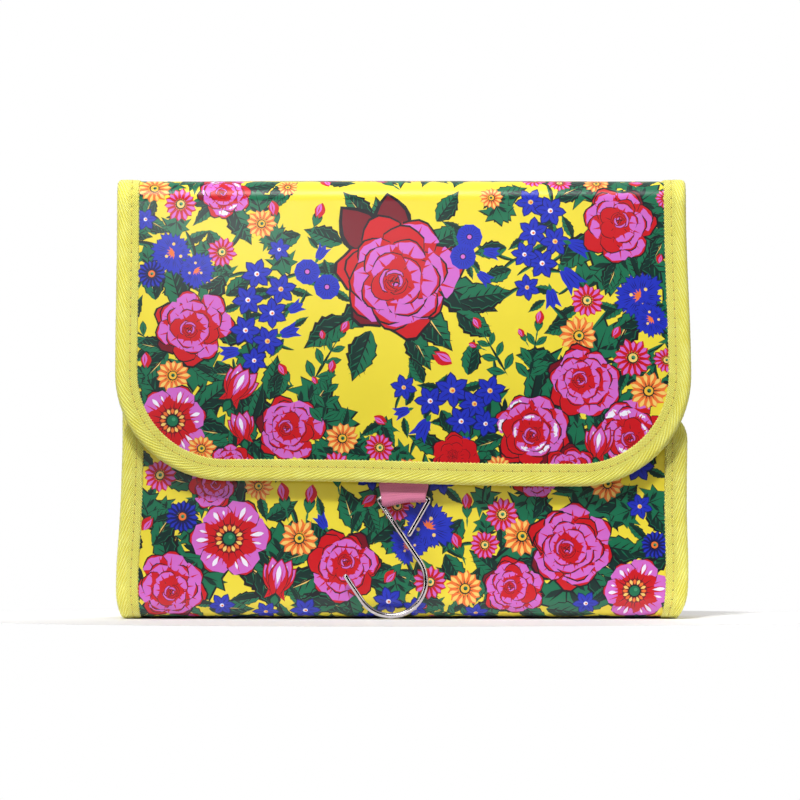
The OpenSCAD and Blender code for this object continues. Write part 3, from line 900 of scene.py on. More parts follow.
FRONT_FLOWERS = [
    (blue_daisy, -101, 47, 8, 0), (anemone, -79, 37, 19, 0), (rose, -106, 15, 16, 0),
    (tulip, -57, 15, 14, 80), (bud, -54, 56, 7, 100), (bud, -42, 55, 7, 80), (daisy, -47, 37, 9, 0),
    (rose, -27, 24, 16, 0), (star, -62, 2, 6, 0), (magenta_daisy, -2, 52, 8, 0), (cornflower, 12, 42, 13, 60),
    (cornflower, 3, 34, 9, 230), (magenta_daisy, 13, 17, 8, 0), (daisy, 29, 14, 9, 0),
    (magenta_daisy, 46, 48, 8, 0), (magenta_daisy, 38, 34, 7, 0), (daisy, 55, 38, 9, 0),
    (rose, 52, 14, 14, 0), (full_rose, 78, 34, 19, 0), (anemone, 106, 13, 16, 0), (blue_daisy, 115, 34, 7, 0),
    (bud, 26, 34, 6, 110), (bud, 30, 52, 6, 90), (star, -6, 8, 7, 0), (star, 6, 4, 6, 0),
    (star, -44, 3, 7, 0), (bell, -36, 44, 5, 120), (rose, -88, 62, 11, 0), (daisy, -66, 61, 7, 0),
    (magenta_daisy, -112, 66, 8, 0), (star, -14, 66, 7, 0), (star, 18, 64, 7, 0), (rose, 62, 66, 11, 0),
    (daisy, 94, 62, 8, 0), (star, 108, 70, 7, 0), (bell, 40, 66, 6, 70), (bud, -30, 66, 6, 100),
    (star, 84, 7, 6, 0), (star, 34, 1, 6, 0), (star, -82, 6, 6, 0),
]
FLAP_LEAVES = [
    (-14, 181, 19, 130), (-27, 172, 18, 160), (-24, 138, 24, 215), (-14, 132, 24, 250), (16, 182, 17, 55),
    (26, 146, 24, 10), (25, 141, 20, -35), (3, 132, 20, -60), (112, 186, 18, -10), (108, 170, 22, -50),
    (98, 164, 16, 250), (-112, 176, 15, 120), (-92, 152, 14, 30), (-112, 146, 18, 100), (-80, 148, 15, 40),
    (-106, 122, 18, 230), (-84, 118, 20, 300), (-108, 124, 14, 170), (-92, 96, 22, 40), (-60, 100, 20, 80),
    (-60, 76, 24, 30), (-40, 96, 16, 60), (-36, 78, 18, 350), (-118, 104, 14, 270), (70, 192, 16, 30),
    (48, 170, 15, 190), (50, 160, 14, 200), (96, 124, 22, 60), (98, 134, 20, 30), (70, 118, 18, 170),
    (96, 98, 20, 20), (72, 100, 18, 240), (88, 92, 20, 280), (46, 84, 16, 200), (70, 76, 22, 330),
    (112, 74, 16, 60), (18, 96, 14, 300), (30, 112, 16, 80), (10, 108, 13, 120), (78, 136, 14, 200),
    (-46, 176, 14, 200), (-60, 192, 16, 40), (40, 192, 18, 20), (84, 196, 16, 0), (-74, 112, 14, 180),
    (-88, 178, 12, 300), (54, 70, 14, 200), (-16, 74, 16, 170), (108, 160, 16, 60), (-118, 84, 12, 120),
]
FRONT_LEAVES = [
    (-118, 56, 22, -60), (-114, 34, 20, 60), (-96, 54, 18, 60), (-62, 46, 16, 30), (-94, 26, 18, 200),
    (-66, 22, 20, 300), (-20, 40, 22, 110), (-14, 36, 22, 40), (-40, 32, 16, 200), (-42, 10, 20, 340),
    (-12, 14, 18, 330), (8, 28, 22, -70), (20, 30, 18, -60), (28, 46, 18, 240), (36, 24, 18, 260),
    (60, 46, 18, 80), (62, 26, 16, 200), (96, 42, 22, 60), (104, 30, 22, 20), (92, 20, 20, 340),
    (40, 6, 20, 10), (66, 4, 22, 350), (88, 50, 22, 30), (112, 52, 18, -50), (-88, 4, 20, 0),
    (-124, 28, 14, 80), (20, 6, 16, 180), (-30, 6, 20, 180), (-4, 24, 14, 200), (110, 66, 16, 80),
]


def placed(flowers, on_cloth, mirror=1, turn=0):
    """Flowers given by height, moved to the distance along the cloth that on_cloth works out."""
    return [(what, mirror * x, on_cloth(z), r, (180 - a if mirror < 0 else a) + turn)
            for what, x, z, r, a in flowers]


def leaves(places):
    return [(leaf, x, z, r, a) for x, z, r, a in places]


def on_flap(z):
    return z - HEM_Z


def on_back(z):
    return flap_length + RUNS["back_top"].fold_end + TOP_Z - FOLD_R - z


def on_front(z):
    return middle_base + RUNS["front"].fold_end + z - FOLD_R


LOWER = [f for f in FRONT_FLOWERS if f[2] < 60]
LOWER_LEAVES = [f for f in FRONT_LEAVES if f[1] < 60]
LAYOUT = (
    placed(leaves(FLAP_LEAVES), on_flap) + placed(leaves(FRONT_LEAVES), on_front)
    + placed(leaves(FLAP_LEAVES), on_back, -1, 180) + placed(leaves(LOWER_LEAVES), on_back, -1, 180)
    + placed(FLAP_FLOWERS, on_flap) + placed(FRONT_FLOWERS, on_front)
    + placed(FLAP_FLOWERS, on_back, -1, 180) + placed(LOWER, on_back, -1, 180)
)
FOLD_FLOWERS = [
    (-104, 3, 13, rose), (-70, -4, 9, daisy), (-44, 5, 12, rose), (-16, -3, 8, magenta_daisy),
    (8, 4, 8, star), (30, -5, 13, tulip), (60, 4, 12, rose), (88, -6, 9, daisy), (110, 3, 11, rose),
]
for x, gap, r, what in FOLD_FLOWERS:
    for side, c in ((1, flap_length), (-1, middle_base)):
        LAYOUT.append((what, side * x, c + gap, r, 40))
        LAYOUT.insert(0, (leaf, side * x, c + gap, r * 1.6, x * 3 % 360))
        LAYOUT.insert(0, (leaf, side * x, c + gap, r * 1.6, x * 3 % 360 + 150))


PLAIN_HEIGHT = 142
PLAIN_HALF = (52, 50)
PRINT_SEED = 11
CROWDED = (rose, full_rose, gleaming_rose, poppy, tulip, anemone)
SIMPLE = (daisy, magenta_daisy, blue_daisy, cornflower)


def foliage(flowers, rng):
    """Leaves that come out from behind each flower."""
    out = []
    for what, x, c, r, _ in flowers:
        if what in CROWDED:
            count, reach, kinds = 5, 0.85 * r + 8, (leaf, ivy, leaf, slim_leaf)
        elif what in SIMPLE:
            count, reach, kinds = 3, 0.8 * r + 6, (slim_leaf, ivy, blade)
        elif what in (star, pom, bell):
            count, reach, kinds = 2, 0.8 * r + 5, (slim_leaf, blade)
        else:
            continue
        if what is full_rose:
            count, reach = 6, 27
        first = rng.uniform(0, 360)
        for i in range(count):
            a = first + 360 * i / count + rng.uniform(-14, 14)
            near = turned([(0.55 * r, 0)], a)[0]
            kind = kinds[rng.integers(len(kinds))]
            size = reach * rng.uniform(0.8, 1.15)
            out.append((kind, x + near[0], c + near[1], size, a + rng.uniform(-22, 22)))
    return out


def fillers(flowers, rng, clear):
    """Small sprays where nothing else lies, apart from the places that stay clear."""
    out = []
    taken = [(x, c, r) for _, x, c, r, _ in flowers]
    total = middle_base + RUNS["front"].length
    for _ in range(1500):
        x, c, r = rng.uniform(-HALF_W, HALF_W), rng.uniform(0, total), rng.uniform(5, 7)
        if clear(x, c) or any((x - a) ** 2 + (c - b) ** 2 < (r * 0.9 + s) ** 2 for a, b, s in taken):
            continue
        taken.append((x, c, r))
        kind = (bud, daisy, magenta_daisy, star, sprig, bud)[rng.integers(6)]
        out.append((kind, x, c, r if kind is not sprig else 1.8 * r, rng.uniform(0, 360)))
        for _ in range(2):
            out.insert(0, ((ivy, slim_leaf, leaf)[rng.integers(3)], x, c, r * 2.4, rng.uniform(0, 360)))
    return out


def open_ground(x, c):
    """The middle of the flap, and of the back, stays plain round the large rose."""
    half_x, half_c = PLAIN_HALF
    return any((x / half_x) ** 2 + ((c - middle) / half_c) ** 2 < 1
               for middle in (on_flap(PLAIN_HEIGHT), on_back(PLAIN_HEIGHT)))


def printed_shapes():
    """Every shape of the print, bottom first, in x and distance along the cloth."""
    rng = np.random.default_rng(PRINT_SEED)
    flowers = [f for f in LAYOUT if f[0] is not leaf]
    placed_leaves = [f for f in LAYOUT if f[0] is leaf]
    layers = foliage(flowers, rng) + placed_leaves + fillers(flowers, rng, open_ground) + flowers
    shapes = []
    for what, x, c, radius, turn in layers:
        seed = np.random.default_rng(int(abs(x) * 31 + c * 7) + len(what.__name__))
        for colour, points in what(seed):
            shapes.append((colour, turned(points, turn, radius, (x, c))))
    return shapes


def area_of(points):
    """Signed area of a polygon, above 0 if it is anticlockwise."""
    x, y = np.asarray(points, float).T
    return float(np.dot(x[:-1], y[1:]) - np.dot(y[:-1], x[1:]) + x[-1] * y[0] - y[-1] * x[0]) / 2


PAINT = {name: linear(rgb) for name, rgb in COLOURS.items()}
GRID = 5
COVER_INSET = 2.5
SMALLEST = {"flap": 0.06, "front": 0.06, "back_top": 0.7, "back_low": 0.7}


def triangulated(points, edges, faces):
    """A planar triangulation: its points, its triangles, and for each the last of the faces that it is in."""
    vectors = [Vector(p) for p in points]
    flat, _, tris, _, _, sources = delaunay_2d_cdt(vectors, edges, faces, 1, 1e-4, True)
    flat, tris = np.array([v[:] for v in flat]), np.array(tris)
    counts = np.fromiter(map(len, sources), int, len(sources))
    tris = tris[counts > 0]
    counts = counts[counts > 0]
    members = np.fromiter(chain.from_iterable(sources), int, counts.sum())
    u, v = flat[tris[:, 1]] - flat[tris[:, 0]], flat[tris[:, 2]] - flat[tris[:, 0]]
    size = np.abs(u[:, 0] * v[:, 1] - u[:, 1] * v[:, 0]) / 2
    covered = np.bincount(members, np.repeat(size, counts), len(faces))
    # A face that collapsed to nothing can spread over everything, so what covers too much is left out.
    members[(covered > 1.05 * np.array([abs(area_of(points[f])) for f in faces]) + 0.02)[members]] = -1
    starts = np.concatenate([[0], np.cumsum(counts)[:-1]])
    on_cloth = np.minimum.reduceat(np.where(members < 0, 1, members), starts) == 0
    return flat, tris[on_cloth], np.maximum.reduceat(members, starts)[on_cloth]


def rings_of(parts):
    """The faces of some polygons whose points are listed one after the other."""
    firsts = np.cumsum([0] + [len(p) for p in parts])
    return [list(range(a, b)) for a, b in zip(firsts, firsts[1:])]


def colour_borders(flat, tris, colour):
    """The lines between colours and round the cloth, each as long as it runs straight."""
    pairs = np.sort(tris[:, [0, 1, 1, 2, 2, 0]].reshape(-1, 2), axis=1)
    key = pairs[:, 0] * len(flat) + pairs[:, 1]
    order = np.argsort(key, kind="stable")
    key, shade = key[order], np.repeat(colour, 3)[order]
    same = key[1:] == key[:-1]
    inner = np.concatenate([[False], same & (shade[1:] == shade[:-1])])
    drop = inner | np.concatenate([inner[1:], [False]]) | np.concatenate([[False], same])
    ends = np.stack([key[~drop] // len(flat), key[~drop] % len(flat)], axis=1)
    near = {}
    for a, b in ends.tolist():
        near.setdefault(a, []).append(b)
        near.setdefault(b, []).append(a)
    straight = set()
    for v, others in near.items():
        if len(others) == 2:
            (ax, ay), (bx, by) = flat[others[0]] - flat[v], flat[others[1]] - flat[v]
            ahead = ax * bx + ay * by < 0
            if ahead and abs(ax * by - ay * bx) < 2e-3 * math.hypot(ax, ay) * math.hypot(bx, by):
                straight.add(v)
    lines = []
    for v, others in near.items():
        if v not in straight:
            for nxt in others:
                before, here = v, nxt
                while here in straight:
                    a, b = near[here]
                    before, here = here, (b if a == before else a)
                if v < here:
                    lines.append((v, here))
    return lines


def printed_cover(run, shapes):
    """The cover of a run as triangles cut along the print's outlines, each with its colour."""
    rim = np.array(outline(run, COVER_INSET))
    parts, colours = [rim], ["ground"]
    skip_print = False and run.name.startswith("back")
    for colour, points in () if skip_print else shapes:
        s = (points[:, 1] - run.cloth) * run.way
        inside = s.max() > 0 and s.min() < run.length and np.abs(points[:, 0]).min() < HALF_W
        area = area_of(points) * run.way
        if inside and abs(area) > SMALLEST[run.name]:
            local = np.stack([points[:, 0], s], axis=1)
            parts.append(local if area > 0 else local[::-1])
            colours.append(colour)
    flat, tris, top = triangulated(np.concatenate(parts), [], rings_of(parts))
    names = list(PAINT)
    shade = np.array([names.index(c) for c in colours])[top]
    drawn = BVHTree.FromPolygons([(x, y, 0) for x, y in flat.tolist()], tris.tolist())

    # The same picture again, with only the lines between colours and a grid that lets it bend.
    lines = colour_borders(flat, tris, shade)
    used, ends = np.unique(np.array(lines), return_inverse=True)
    grid = [((x, 0), (x, run.length)) for x in np.arange(-HALF_W + 2 * GRID, HALF_W - 1, 2 * GRID)]
    rows = (*np.arange(GRID, run.to_fold, GRID), *np.linspace(run.to_fold, run.fold_end, 15),
            *np.arange(run.fold_end + GRID, run.length, GRID))
    grid += [((-HALF_W, s), (HALF_W, s)) for s in rows]
    points = np.concatenate([rim, flat[used], np.array(grid).reshape(-1, 2)])
    borders = (ends.reshape(-1, 2) + len(rim)).tolist()
    first = len(rim) + len(used)
    borders += [(first + 2 * i, first + 2 * i + 1) for i in range(len(grid))]
    flat, tris, _ = triangulated(points, borders, [list(range(len(rim)))])
    middles = flat[tris].mean(axis=1)
    found = [drawn.find_nearest((x, y, 0))[2] for x, y in middles.tolist()]

    used, corner_of = np.unique(tris, return_inverse=True)
    tris = corner_of.reshape(-1, 3)
    points = run.at(flat[used, 0], flat[used, 1], TAPE)
    normals = run.normals(flat[used, 0], flat[used, 1], TAPE)
    a, b, c = (points[tris[:, k]] for k in range(3))
    wrong = (np.cross(b - a, c - a) * normals[tris[:, 0]]).sum(1) < 0
    tris[wrong] = tris[wrong][:, ::-1]
    o = piece(f"{run.name}_printed_cover", points, tris, OILCLOTH)
    paint = o.data.color_attributes.new("print", "FLOAT_COLOR", "CORNER")
    rgba = np.array([(*PAINT[name], 1) for name in names], np.float32)[shade[found]]
    paint.data.foreach_set("color", np.repeat(rgba, 3, axis=0).ravel())
    o.data.normals_split_custom_set_from_vertices(normals)
    return o


def inner_panel(run, name):
    """Board, wadding and lining of a run, as one closed panel."""
    inset, spacing, across = 1.0, 4, 41
    end = run.length - inset
    s = np.concatenate([np.arange(0, run.to_fold, spacing), np.linspace(run.to_fold, run.fold_end, 13),
                        np.arange(run.fold_end + spacing, end - 1, spacing), [end]])
    if run.name.startswith("back"):
        s[-1] = run.length
    x = half_width(run, s, inset)[:, None] * np.linspace(-1, 1, across)
    rows, n = len(s), x.size
    points = [run.at(x, s[:, None], depth).reshape(-1, 3) for depth in (BOARD, INSIDE)]
    faces = [f[::-1] for f in grid_faces(rows, across)] + grid_faces(rows, across, first=n)
    at = np.arange(n).reshape(rows, across)
    ring = [*at[0], *at[1:, -1], *at[-1, -2::-1], *at[-2:0:-1, 0]]
    faces += [(a, b, b + n, a + n) for a, b in zip(ring, ring[1:] + ring[:1])]
    o = piece(name, np.concatenate(points), faces, LINING)
    fix_normals(o)
    return o


def fix_normals(o):
    bm = bmesh.new()
    bm.from_mesh(o.data)
    bmesh.ops.recalc_face_normals(bm, faces=bm.faces)
    bm.to_mesh(o.data)
    bm.free()


# ---- Binding tape ----


def edge_path(run, step=0.5):
    """Points in x and s along a run's cut edge, their inward directions and the distance along the tape."""
    half, end = HALF_W, run.length
    if run.name.startswith("back"):
        s = np.linspace(0, end, int(end / step))
        return [(np.stack([np.full_like(s, side * half), s], 1), np.tile([-side, 0.0], (len(s), 1)), side * s)
                for side in (-1.0, 1.0)]
    r = FLAP_CORNER if run.name == "flap" else LIP_CORNER
    side, corner = end - r, math.pi / 2 * r
    total = 2 * side + 2 * corner + 2 * (half - r)
    t = np.linspace(0, total, int(total / step))
    # The right half of the path mirrors the left one.
    near = np.minimum(t, total - t)
    mirror = np.where(t < total / 2, 1, -1)
    a = np.clip((near - side) / r, 0, math.pi / 2)
    x = -half + r - r * np.cos(a) + np.maximum(near - side - corner, 0)
    points = np.stack([mirror * x, np.minimum(near, side) + r * np.sin(a)], axis=1)
    return [(points, np.stack([mirror * np.cos(a), -np.sin(a)], axis=1), t)]


def tape_section():
    """The tape's outer line as distance in, depth and outward direction, down one face and up the other.

    Then how far across the tape each point is from its folded edge, and the four points of the inner line.
    """
    bull = SECTION / 2
    flat = np.linspace(BINDING_W, bull, 26)[:-1]
    turn = np.linspace(0, math.pi, 11)
    e = np.concatenate([flat, bull - bull * np.sin(turn), flat[::-1]])
    d = np.concatenate([0 * flat, bull - bull * np.cos(turn), 0 * flat + SECTION])
    de = np.concatenate([0 * flat, -np.sin(turn), 0 * flat])
    dd = np.concatenate([0 * flat - 1, -np.cos(turn), 0 * flat + 1])
    along = distances(np.stack([e, d], axis=1))
    across = np.abs(along - along[len(flat) + 5])
    inner_e = np.array([BINDING_W, TAPE + 0.2, TAPE + 0.2, BINDING_W])
    inner_d = np.array([SECTION - TAPE, SECTION - TAPE, TAPE, TAPE])
    return e, d, de, dd, across, inner_e, inner_d


def tape(run, path, name):
    """Binding folded over a run's edge, its twill raised in the mesh."""
    points, inward, t = path
    e, d, de, dd, across, inner_e, inner_d = tape_section()
    wide, along = across.max(), t[:, None]
    phase = 2 * math.pi * (across * math.cos(TWILL_TURN) - along * math.sin(TWILL_TURN)) / TWILL_PITCH
    twill = 0.1 * np.sin(phase) * (1 - smooth((across - TWILL_END) / 1.2))
    groove = -0.16 * np.exp(-(((across - SEAM_E) / 0.45) ** 2))
    edge_roll = -0.35 * smooth((across - (wide - 0.5)) / 0.5)
    pillow = 0.14 * np.sin(np.pi * np.clip(across / wide, 0, 1)) + 0.05
    scallop = 0.36 * np.sin(2 * math.pi * along / 1.7) * smooth((across - (wide - 0.7)) / 0.7)
    raise_by = twill + groove + edge_roll + pillow
    ee = np.concatenate([e + de * raise_by + scallop, np.tile(inner_e, (len(t), 1))], axis=1)
    depth = np.concatenate([d + dd * raise_by, np.tile(inner_d, (len(t), 1))], axis=1)
    place = run.at(points[:, :1] + inward[:, :1] * ee, points[:, 1:] + inward[:, 1:] * ee, depth)
    o = piece(name, place.reshape(-1, 3), bar_faces(*ee.shape), BINDING)
    v = np.concatenate([across, [wide] * 4])
    add_uv(o, np.stack(np.broadcast_arrays(along / 10, v / 10), axis=-1).reshape(-1, 2))
    fix_normals(o)
    return o


# ---- Small repeated shapes ----


def capsule(length, radius, flat=1.0, sides=6):
    """A rounded bar along the first axis, as points (along, side, up) and faces."""
    turn = np.linspace(0, 2 * math.pi, sides, endpoint=False)
    angles = np.linspace(0, math.pi, 7)[1:-1]
    rings = []
    for a, end in zip(angles, (-length / 2, -length / 2, 0, length / 2, length / 2)):
        r = radius * math.sin(a)
        along = np.full(sides, end - radius * math.cos(a) * 0.8)
        rings.append(np.stack([along, r * np.cos(turn), flat * r * np.sin(turn)], axis=1))
    faces = bar_faces(len(rings), sides)
    return np.concatenate(rings), faces[:-2] + [f[::-1] for f in faces[-2:]]


def scatter(name, shape, places, along, up, material):
    """Copies of a shape in one mesh, each with its own direction and its own up."""
    points, faces = shape
    along = unit(along)
    side = unit(np.cross(up, along))
    axes = np.stack([along, side, np.cross(along, side)], axis=1)
    every = places[:, None, :] + np.einsum("ka,nax->nkx", points, axes)
    firsts = range(0, len(places) * len(points), len(points))
    copies = [tuple(v + first for v in f) for first in firsts for f in faces]
    return piece(name, every.reshape(-1, 3), copies, material)


THREAD_SHAPE = capsule(2.5, 0.33, 0.8)
STITCH_LOOK = 0.4


def seam(name, line, up, material, pitch):
    """Stitches along a line of points that all share one up, in millimetres."""
    line = np.asarray(line, float)
    far = distances(line)
    at = np.arange(pitch / 2, far[-1], pitch)
    middle, ahead = (along_line(at + d, far, line) for d in (0, STITCH_LOOK))
    ups = np.tile(np.array(up, float), (len(at), 1))
    return scatter(name, THREAD_SHAPE, middle, ahead - middle + 1e-9, ups, material)


def binding_seam(run, name):
    """The stitches that hold a run's binding, on both of its faces."""
    places, along, up = [], [], []
    for points, inward, t in edge_path(run):
        far = np.abs(t - t[0])
        line = points + inward * SEAM_IN
        d = np.arange(SEAM_PITCH / 2, far[-1], SEAM_PITCH)
        before, at, after = (along_line(d + step, far, line).T for step in (-STITCH_LOOK, 0, STITCH_LOOK))
        for depth, side in ((-0.02, 1), (SECTION + 0.02, -1)):
            places.append(run.at(*at, depth))
            along.append(run.at(*after, depth) - run.at(*before, depth))
            up.append(run.normals(*at, depth) * side)
    return scatter(name, THREAD_SHAPE, *(np.concatenate(v) for v in (places, along, up)), THREAD)


# ---- Build the skin ----

STANDS_FOR = {
    "flap": (["flap_cover"], ["flap_board", "flap_lining"], ["flap_binding"]),
    "back_top": (["roof_cover", "back_cover"], ["roof_wadding", "roof_lining", "back_board", "back_lining"],
                 ["roof_binding", "back_binding"]),
    "back_low": (["base_cover"], ["base_wadding", "base_lining"], ["base_binding"]),
    "front": (["front_cover"], ["front_board", "front_lining"], ["front_binding"]),
}

shapes = printed_shapes()
for name, run in RUNS.items():
    cover_nodes, panel_nodes, tape_nodes = STANDS_FOR[name]
    cover = printed_cover(run, shapes)
    panel = inner_panel(run, f"{name}_padding")
    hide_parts(*cover_nodes)
    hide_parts(*panel_nodes)
    bend(cover, run)
    bend(panel, run)
    stitches = binding_seam(run, f"{name}_tape_stitches")
    bend(stitches, run)
    paths = edge_path(run)
    for path, end in zip(paths, ("_left", "_right") if len(paths) == 2 else ("",)):
        strip = tape(run, path, f"{name}_edge_tape{end}")
        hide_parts(*tape_nodes)
        bend(strip, run)

# ---- CAD nodes with better materials ----


def dress(name, material, bevel):
    """Gives a shown CAD node its finish, welds its facets and rounds its edges."""
    o = frame["nodes"][name]
    o.data.materials.clear()
    o.data.materials.append(material)
    weld = o.modifiers.new("weld", "WELD")
    weld.merge_threshold = 0.01 * MM
    edge = o.modifiers.new("bevel", "BEVEL")
    edge.width, edge.segments, edge.limit_method = bevel * MM, 2, "ANGLE"
    return o


def shown(o, slot, *nodes, body=None):
    """Hides the CAD nodes that a piece stands for and attaches it to the body it moves with. The slot is not
    used.
    """
    if nodes:
        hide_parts(*nodes)
    if body:
        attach(o, body)
    return o


def tube(name, line, radius, material, sides=20):
    """A round wire along a line of points that lies nearly in X and Z, with domed ends."""
    way = unit(np.gradient(line, axis=0))
    side = unit(np.cross(way, (0, 1, 0)))
    up = np.cross(side, way)
    angles = np.radians((72, 48, 24))
    off, dome = radius * (1 - np.sin(angles)), radius * np.cos(angles)
    middle = line[1:-1]
    centres = np.concatenate([line[0] + way[0] * off[:, None], middle, line[-1] - way[-1] * off[::-1, None]])
    radii = np.concatenate([dome, np.full(len(middle), radius), dome[::-1]])
    side, up = (np.concatenate([v[[0, 0, 0]], v[1:-1], v[[-1, -1, -1]]])[:, None] for v in (side, up))
    turn = np.linspace(0, 2 * math.pi, sides, endpoint=False)[:, None]
    rings = centres[:, None] + radii[:, None, None] * (np.cos(turn) * side + np.sin(turn) * up)
    o = piece(name, rings.reshape(-1, 3), bar_faces(len(centres), sides), material)
    fix_normals(o)
    return o


# ---- Hook ----

EYE_W = 24.3
EYE_CORNER = 2.8
SHANK_TURN = -56
SHANK = 35.0
BEND_R = 16.0
TIP = 14.5
TAIL_END = np.array([2.0, -17.8])
WIRE_R = (high("hanging_hook", Z) - JOINTS["hook_pivot"]["pos_m"][Z] / MM) + 0.1


def heading(degrees):
    return np.array([math.cos(math.radians(degrees)), math.sin(math.radians(degrees))])


def rounded_corner(a, c, b, steps=14):
    t = np.linspace(0, 1, steps)[:, None]
    return (1 - t) ** 2 * a + 2 * t * (1 - t) * c + t * t * b


def hook_line():
    """The wire's middle in x and z about the middle of its bar, and how far it leans in y."""
    half = EYE_W / 2
    left, right = np.array([-half, 0.0]), np.array([half, 0.0])
    to_tail = unit(TAIL_END - right)
    shank_from = left + EYE_CORNER * heading(SHANK_TURN)
    shank_to = left + SHANK * heading(SHANK_TURN)
    centre = shank_to + BEND_R * heading(SHANK_TURN - 90)
    bend_to = centre + BEND_R * heading(SHANK_TURN - 90)
    tip = bend_to + TIP * heading(SHANK_TURN + 180)
    straight = np.linspace(0, 1, 14)[:, None]
    tail = TAIL_END + (right + EYE_CORNER * to_tail - TAIL_END) * straight[:-1]
    parts = [
        tail,
        rounded_corner(right + EYE_CORNER * to_tail, right, right - (EYE_CORNER, 0)),
        rounded_corner(left + (EYE_CORNER, 0), left, shank_from),
        (shank_from + (shank_to - shank_from) * straight)[1:],
        np.array([centre + BEND_R * heading(SHANK_TURN + 90 - 180 * i / 40) for i in range(1, 41)]),
        (bend_to + (tip - bend_to) * straight)[1:],
    ]
    flat = np.concatenate(parts)
    drop = np.maximum(0, -flat[:, 1])
    back = 1.3 * np.minimum(1, drop / 16)
    front = -1.1 * smooth(np.clip((drop - 1) / 13, 0, 1))
    lean = np.where(np.arange(len(flat)) < len(tail) + 7, back, front)
    return np.stack([flat[:, 0], lean, flat[:, 1]], axis=1)


bar_at = np.array(JOINTS["hook_pivot"]["pos_m"]) / MM
shown(tube("hook_wire", hook_line() + bar_at, WIRE_R, CHROME), "hook_wire", "hanging_hook", body="hook")

# ---- Ribbon ----

RIBBON_T = 0.8
RIB_PITCH = 0.92
STITCH_BOX = (8.4, 65.5, 74.4)
sewn_low, sewn_high = box_of("strap_sewn_end")
ribbon_x, ribbon_half = (sewn_low[X] + sewn_high[X]) / 2, (sewn_high[X] - sewn_low[X]) / 2
loop_half = (high("strap_loop", X) - low("strap_loop", X)) / 2
swing_z = JOINTS["strap_swing"]["pos_m"][Z] / MM


def ribbon_line():
    """The middle of the ribbon in y and z: down one ply, round the bar and up the other."""
    down = np.linspace(sewn_high[Z], swing_z, 40)
    bow = np.linspace(0, 1, 14)[1:, None]
    round_r = bar_at[Z] - low("strap_loop", Z) - RIBBON_T / 2
    turn = np.radians(np.linspace(0, 180, 22))
    front_y = bar_at[Y] - RIBBON_T / 2 - 0.05
    hang = np.array([front_y, swing_z])
    bend_at = np.array([front_y - 0.1, bar_at[Z] + 3.0])
    side_at = np.array([bar_at[Y] - round_r, bar_at[Z] + 0.4])
    front_ply = np.concatenate([
        np.stack([np.full_like(down, front_y), down], axis=1),
        (1 - bow) ** 2 * hang + 2 * bow * (1 - bow) * bend_at + bow**2 * side_at])
    wrap = np.stack([bar_at[Y] - round_r * np.cos(turn), bar_at[Z] - round_r * np.sin(turn)], axis=1)
    back_ply = front_ply[::-1] * (-1, 1) + (2 * bar_at[Y], 0)
    return np.concatenate([front_ply, wrap, back_ply])


def ribbon():
    """Grosgrain doubled round the hook's bar and sewn to the flap's lining: its plies open below the hem."""
    line = ribbon_line()
    far = distances(line)
    at = np.arange(0, far[-1], 0.22)
    line = along_line(at, far, line)
    way = unit(np.gradient(line, axis=0))
    out = np.stack([way[:, 1], -way[:, 0]], axis=1)
    ribs = 0.07 * np.sin(2 * math.pi * at / RIB_PITCH)
    below_hem = smooth((sewn_low[Z] + 5 - line[:, 1]) / 3)
    near_bar = smooth((bar_at[Z] + 6 - line[:, 1]) / 7)
    half = ribbon_half + 1.3 * below_hem - (ribbon_half + 0.5 - loop_half) * near_bar
    low_left = 2.1 * smooth((bar_at[Z] + 3.5 - line[:, 1]) / 4)
    u = np.linspace(-1, 1, 25)
    edge = 1 - np.abs(u) ** 12 * 0.45
    rows = []
    for sign, span in ((1, u), (-1, u[::-1])):
        rise = sign * (RIBBON_T / 2 - 0.07 + ribs[:, None]) * edge
        yz = line[:, None] + out[:, None] * rise[..., None]
        z = yz[..., 1] - low_left[:, None] * np.clip(0.25 - span, 0, 1) ** 1.3
        rows.append(np.stack([ribbon_x + half[:, None] * span, yz[..., 0], z], axis=-1))
    rings = np.concatenate(rows, axis=1)
    o = piece("hanger_ribbon", rings.reshape(-1, 3), bar_faces(*rings.shape[:2]), RIBBON)
    fix_normals(o)
    return o, far[-1]


strap, strap_length = ribbon()
shown(strap, "ribbon", "strap_sewn_end", "strap_loop")
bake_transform(strap)
box_half, box_low, box_high = STITCH_BOX
back_face = bar_at[Y] + RIBBON_T + 0.1
stitch_box = loop_round(ribbon_x - box_half, ribbon_x + box_half, box_low, box_high, back_face)
shown(seam("hanger_ribbon_stitches", stitch_box, (0, 1, 0), PINK_THREAD, 2.9), "ribbon", body="flap")

# ---- Pouches ----

HOLE_PITCH = 3.1
TOOTH_PITCH = 0.66
POUCH_STITCH = 3.6


def front_of(low_corner, high_corner, out):
    """The Y of the face of a box that looks out of its pouch."""
    return high_corner[Y] if out > 0 else low_corner[Y]


def thickened(o, thickness):
    """Gives a surface the thickness of its cloth, in millimetres."""
    thick = o.modifiers.new("thick", "SOLIDIFY")
    thick.thickness, thick.offset = thickness * MM, 0


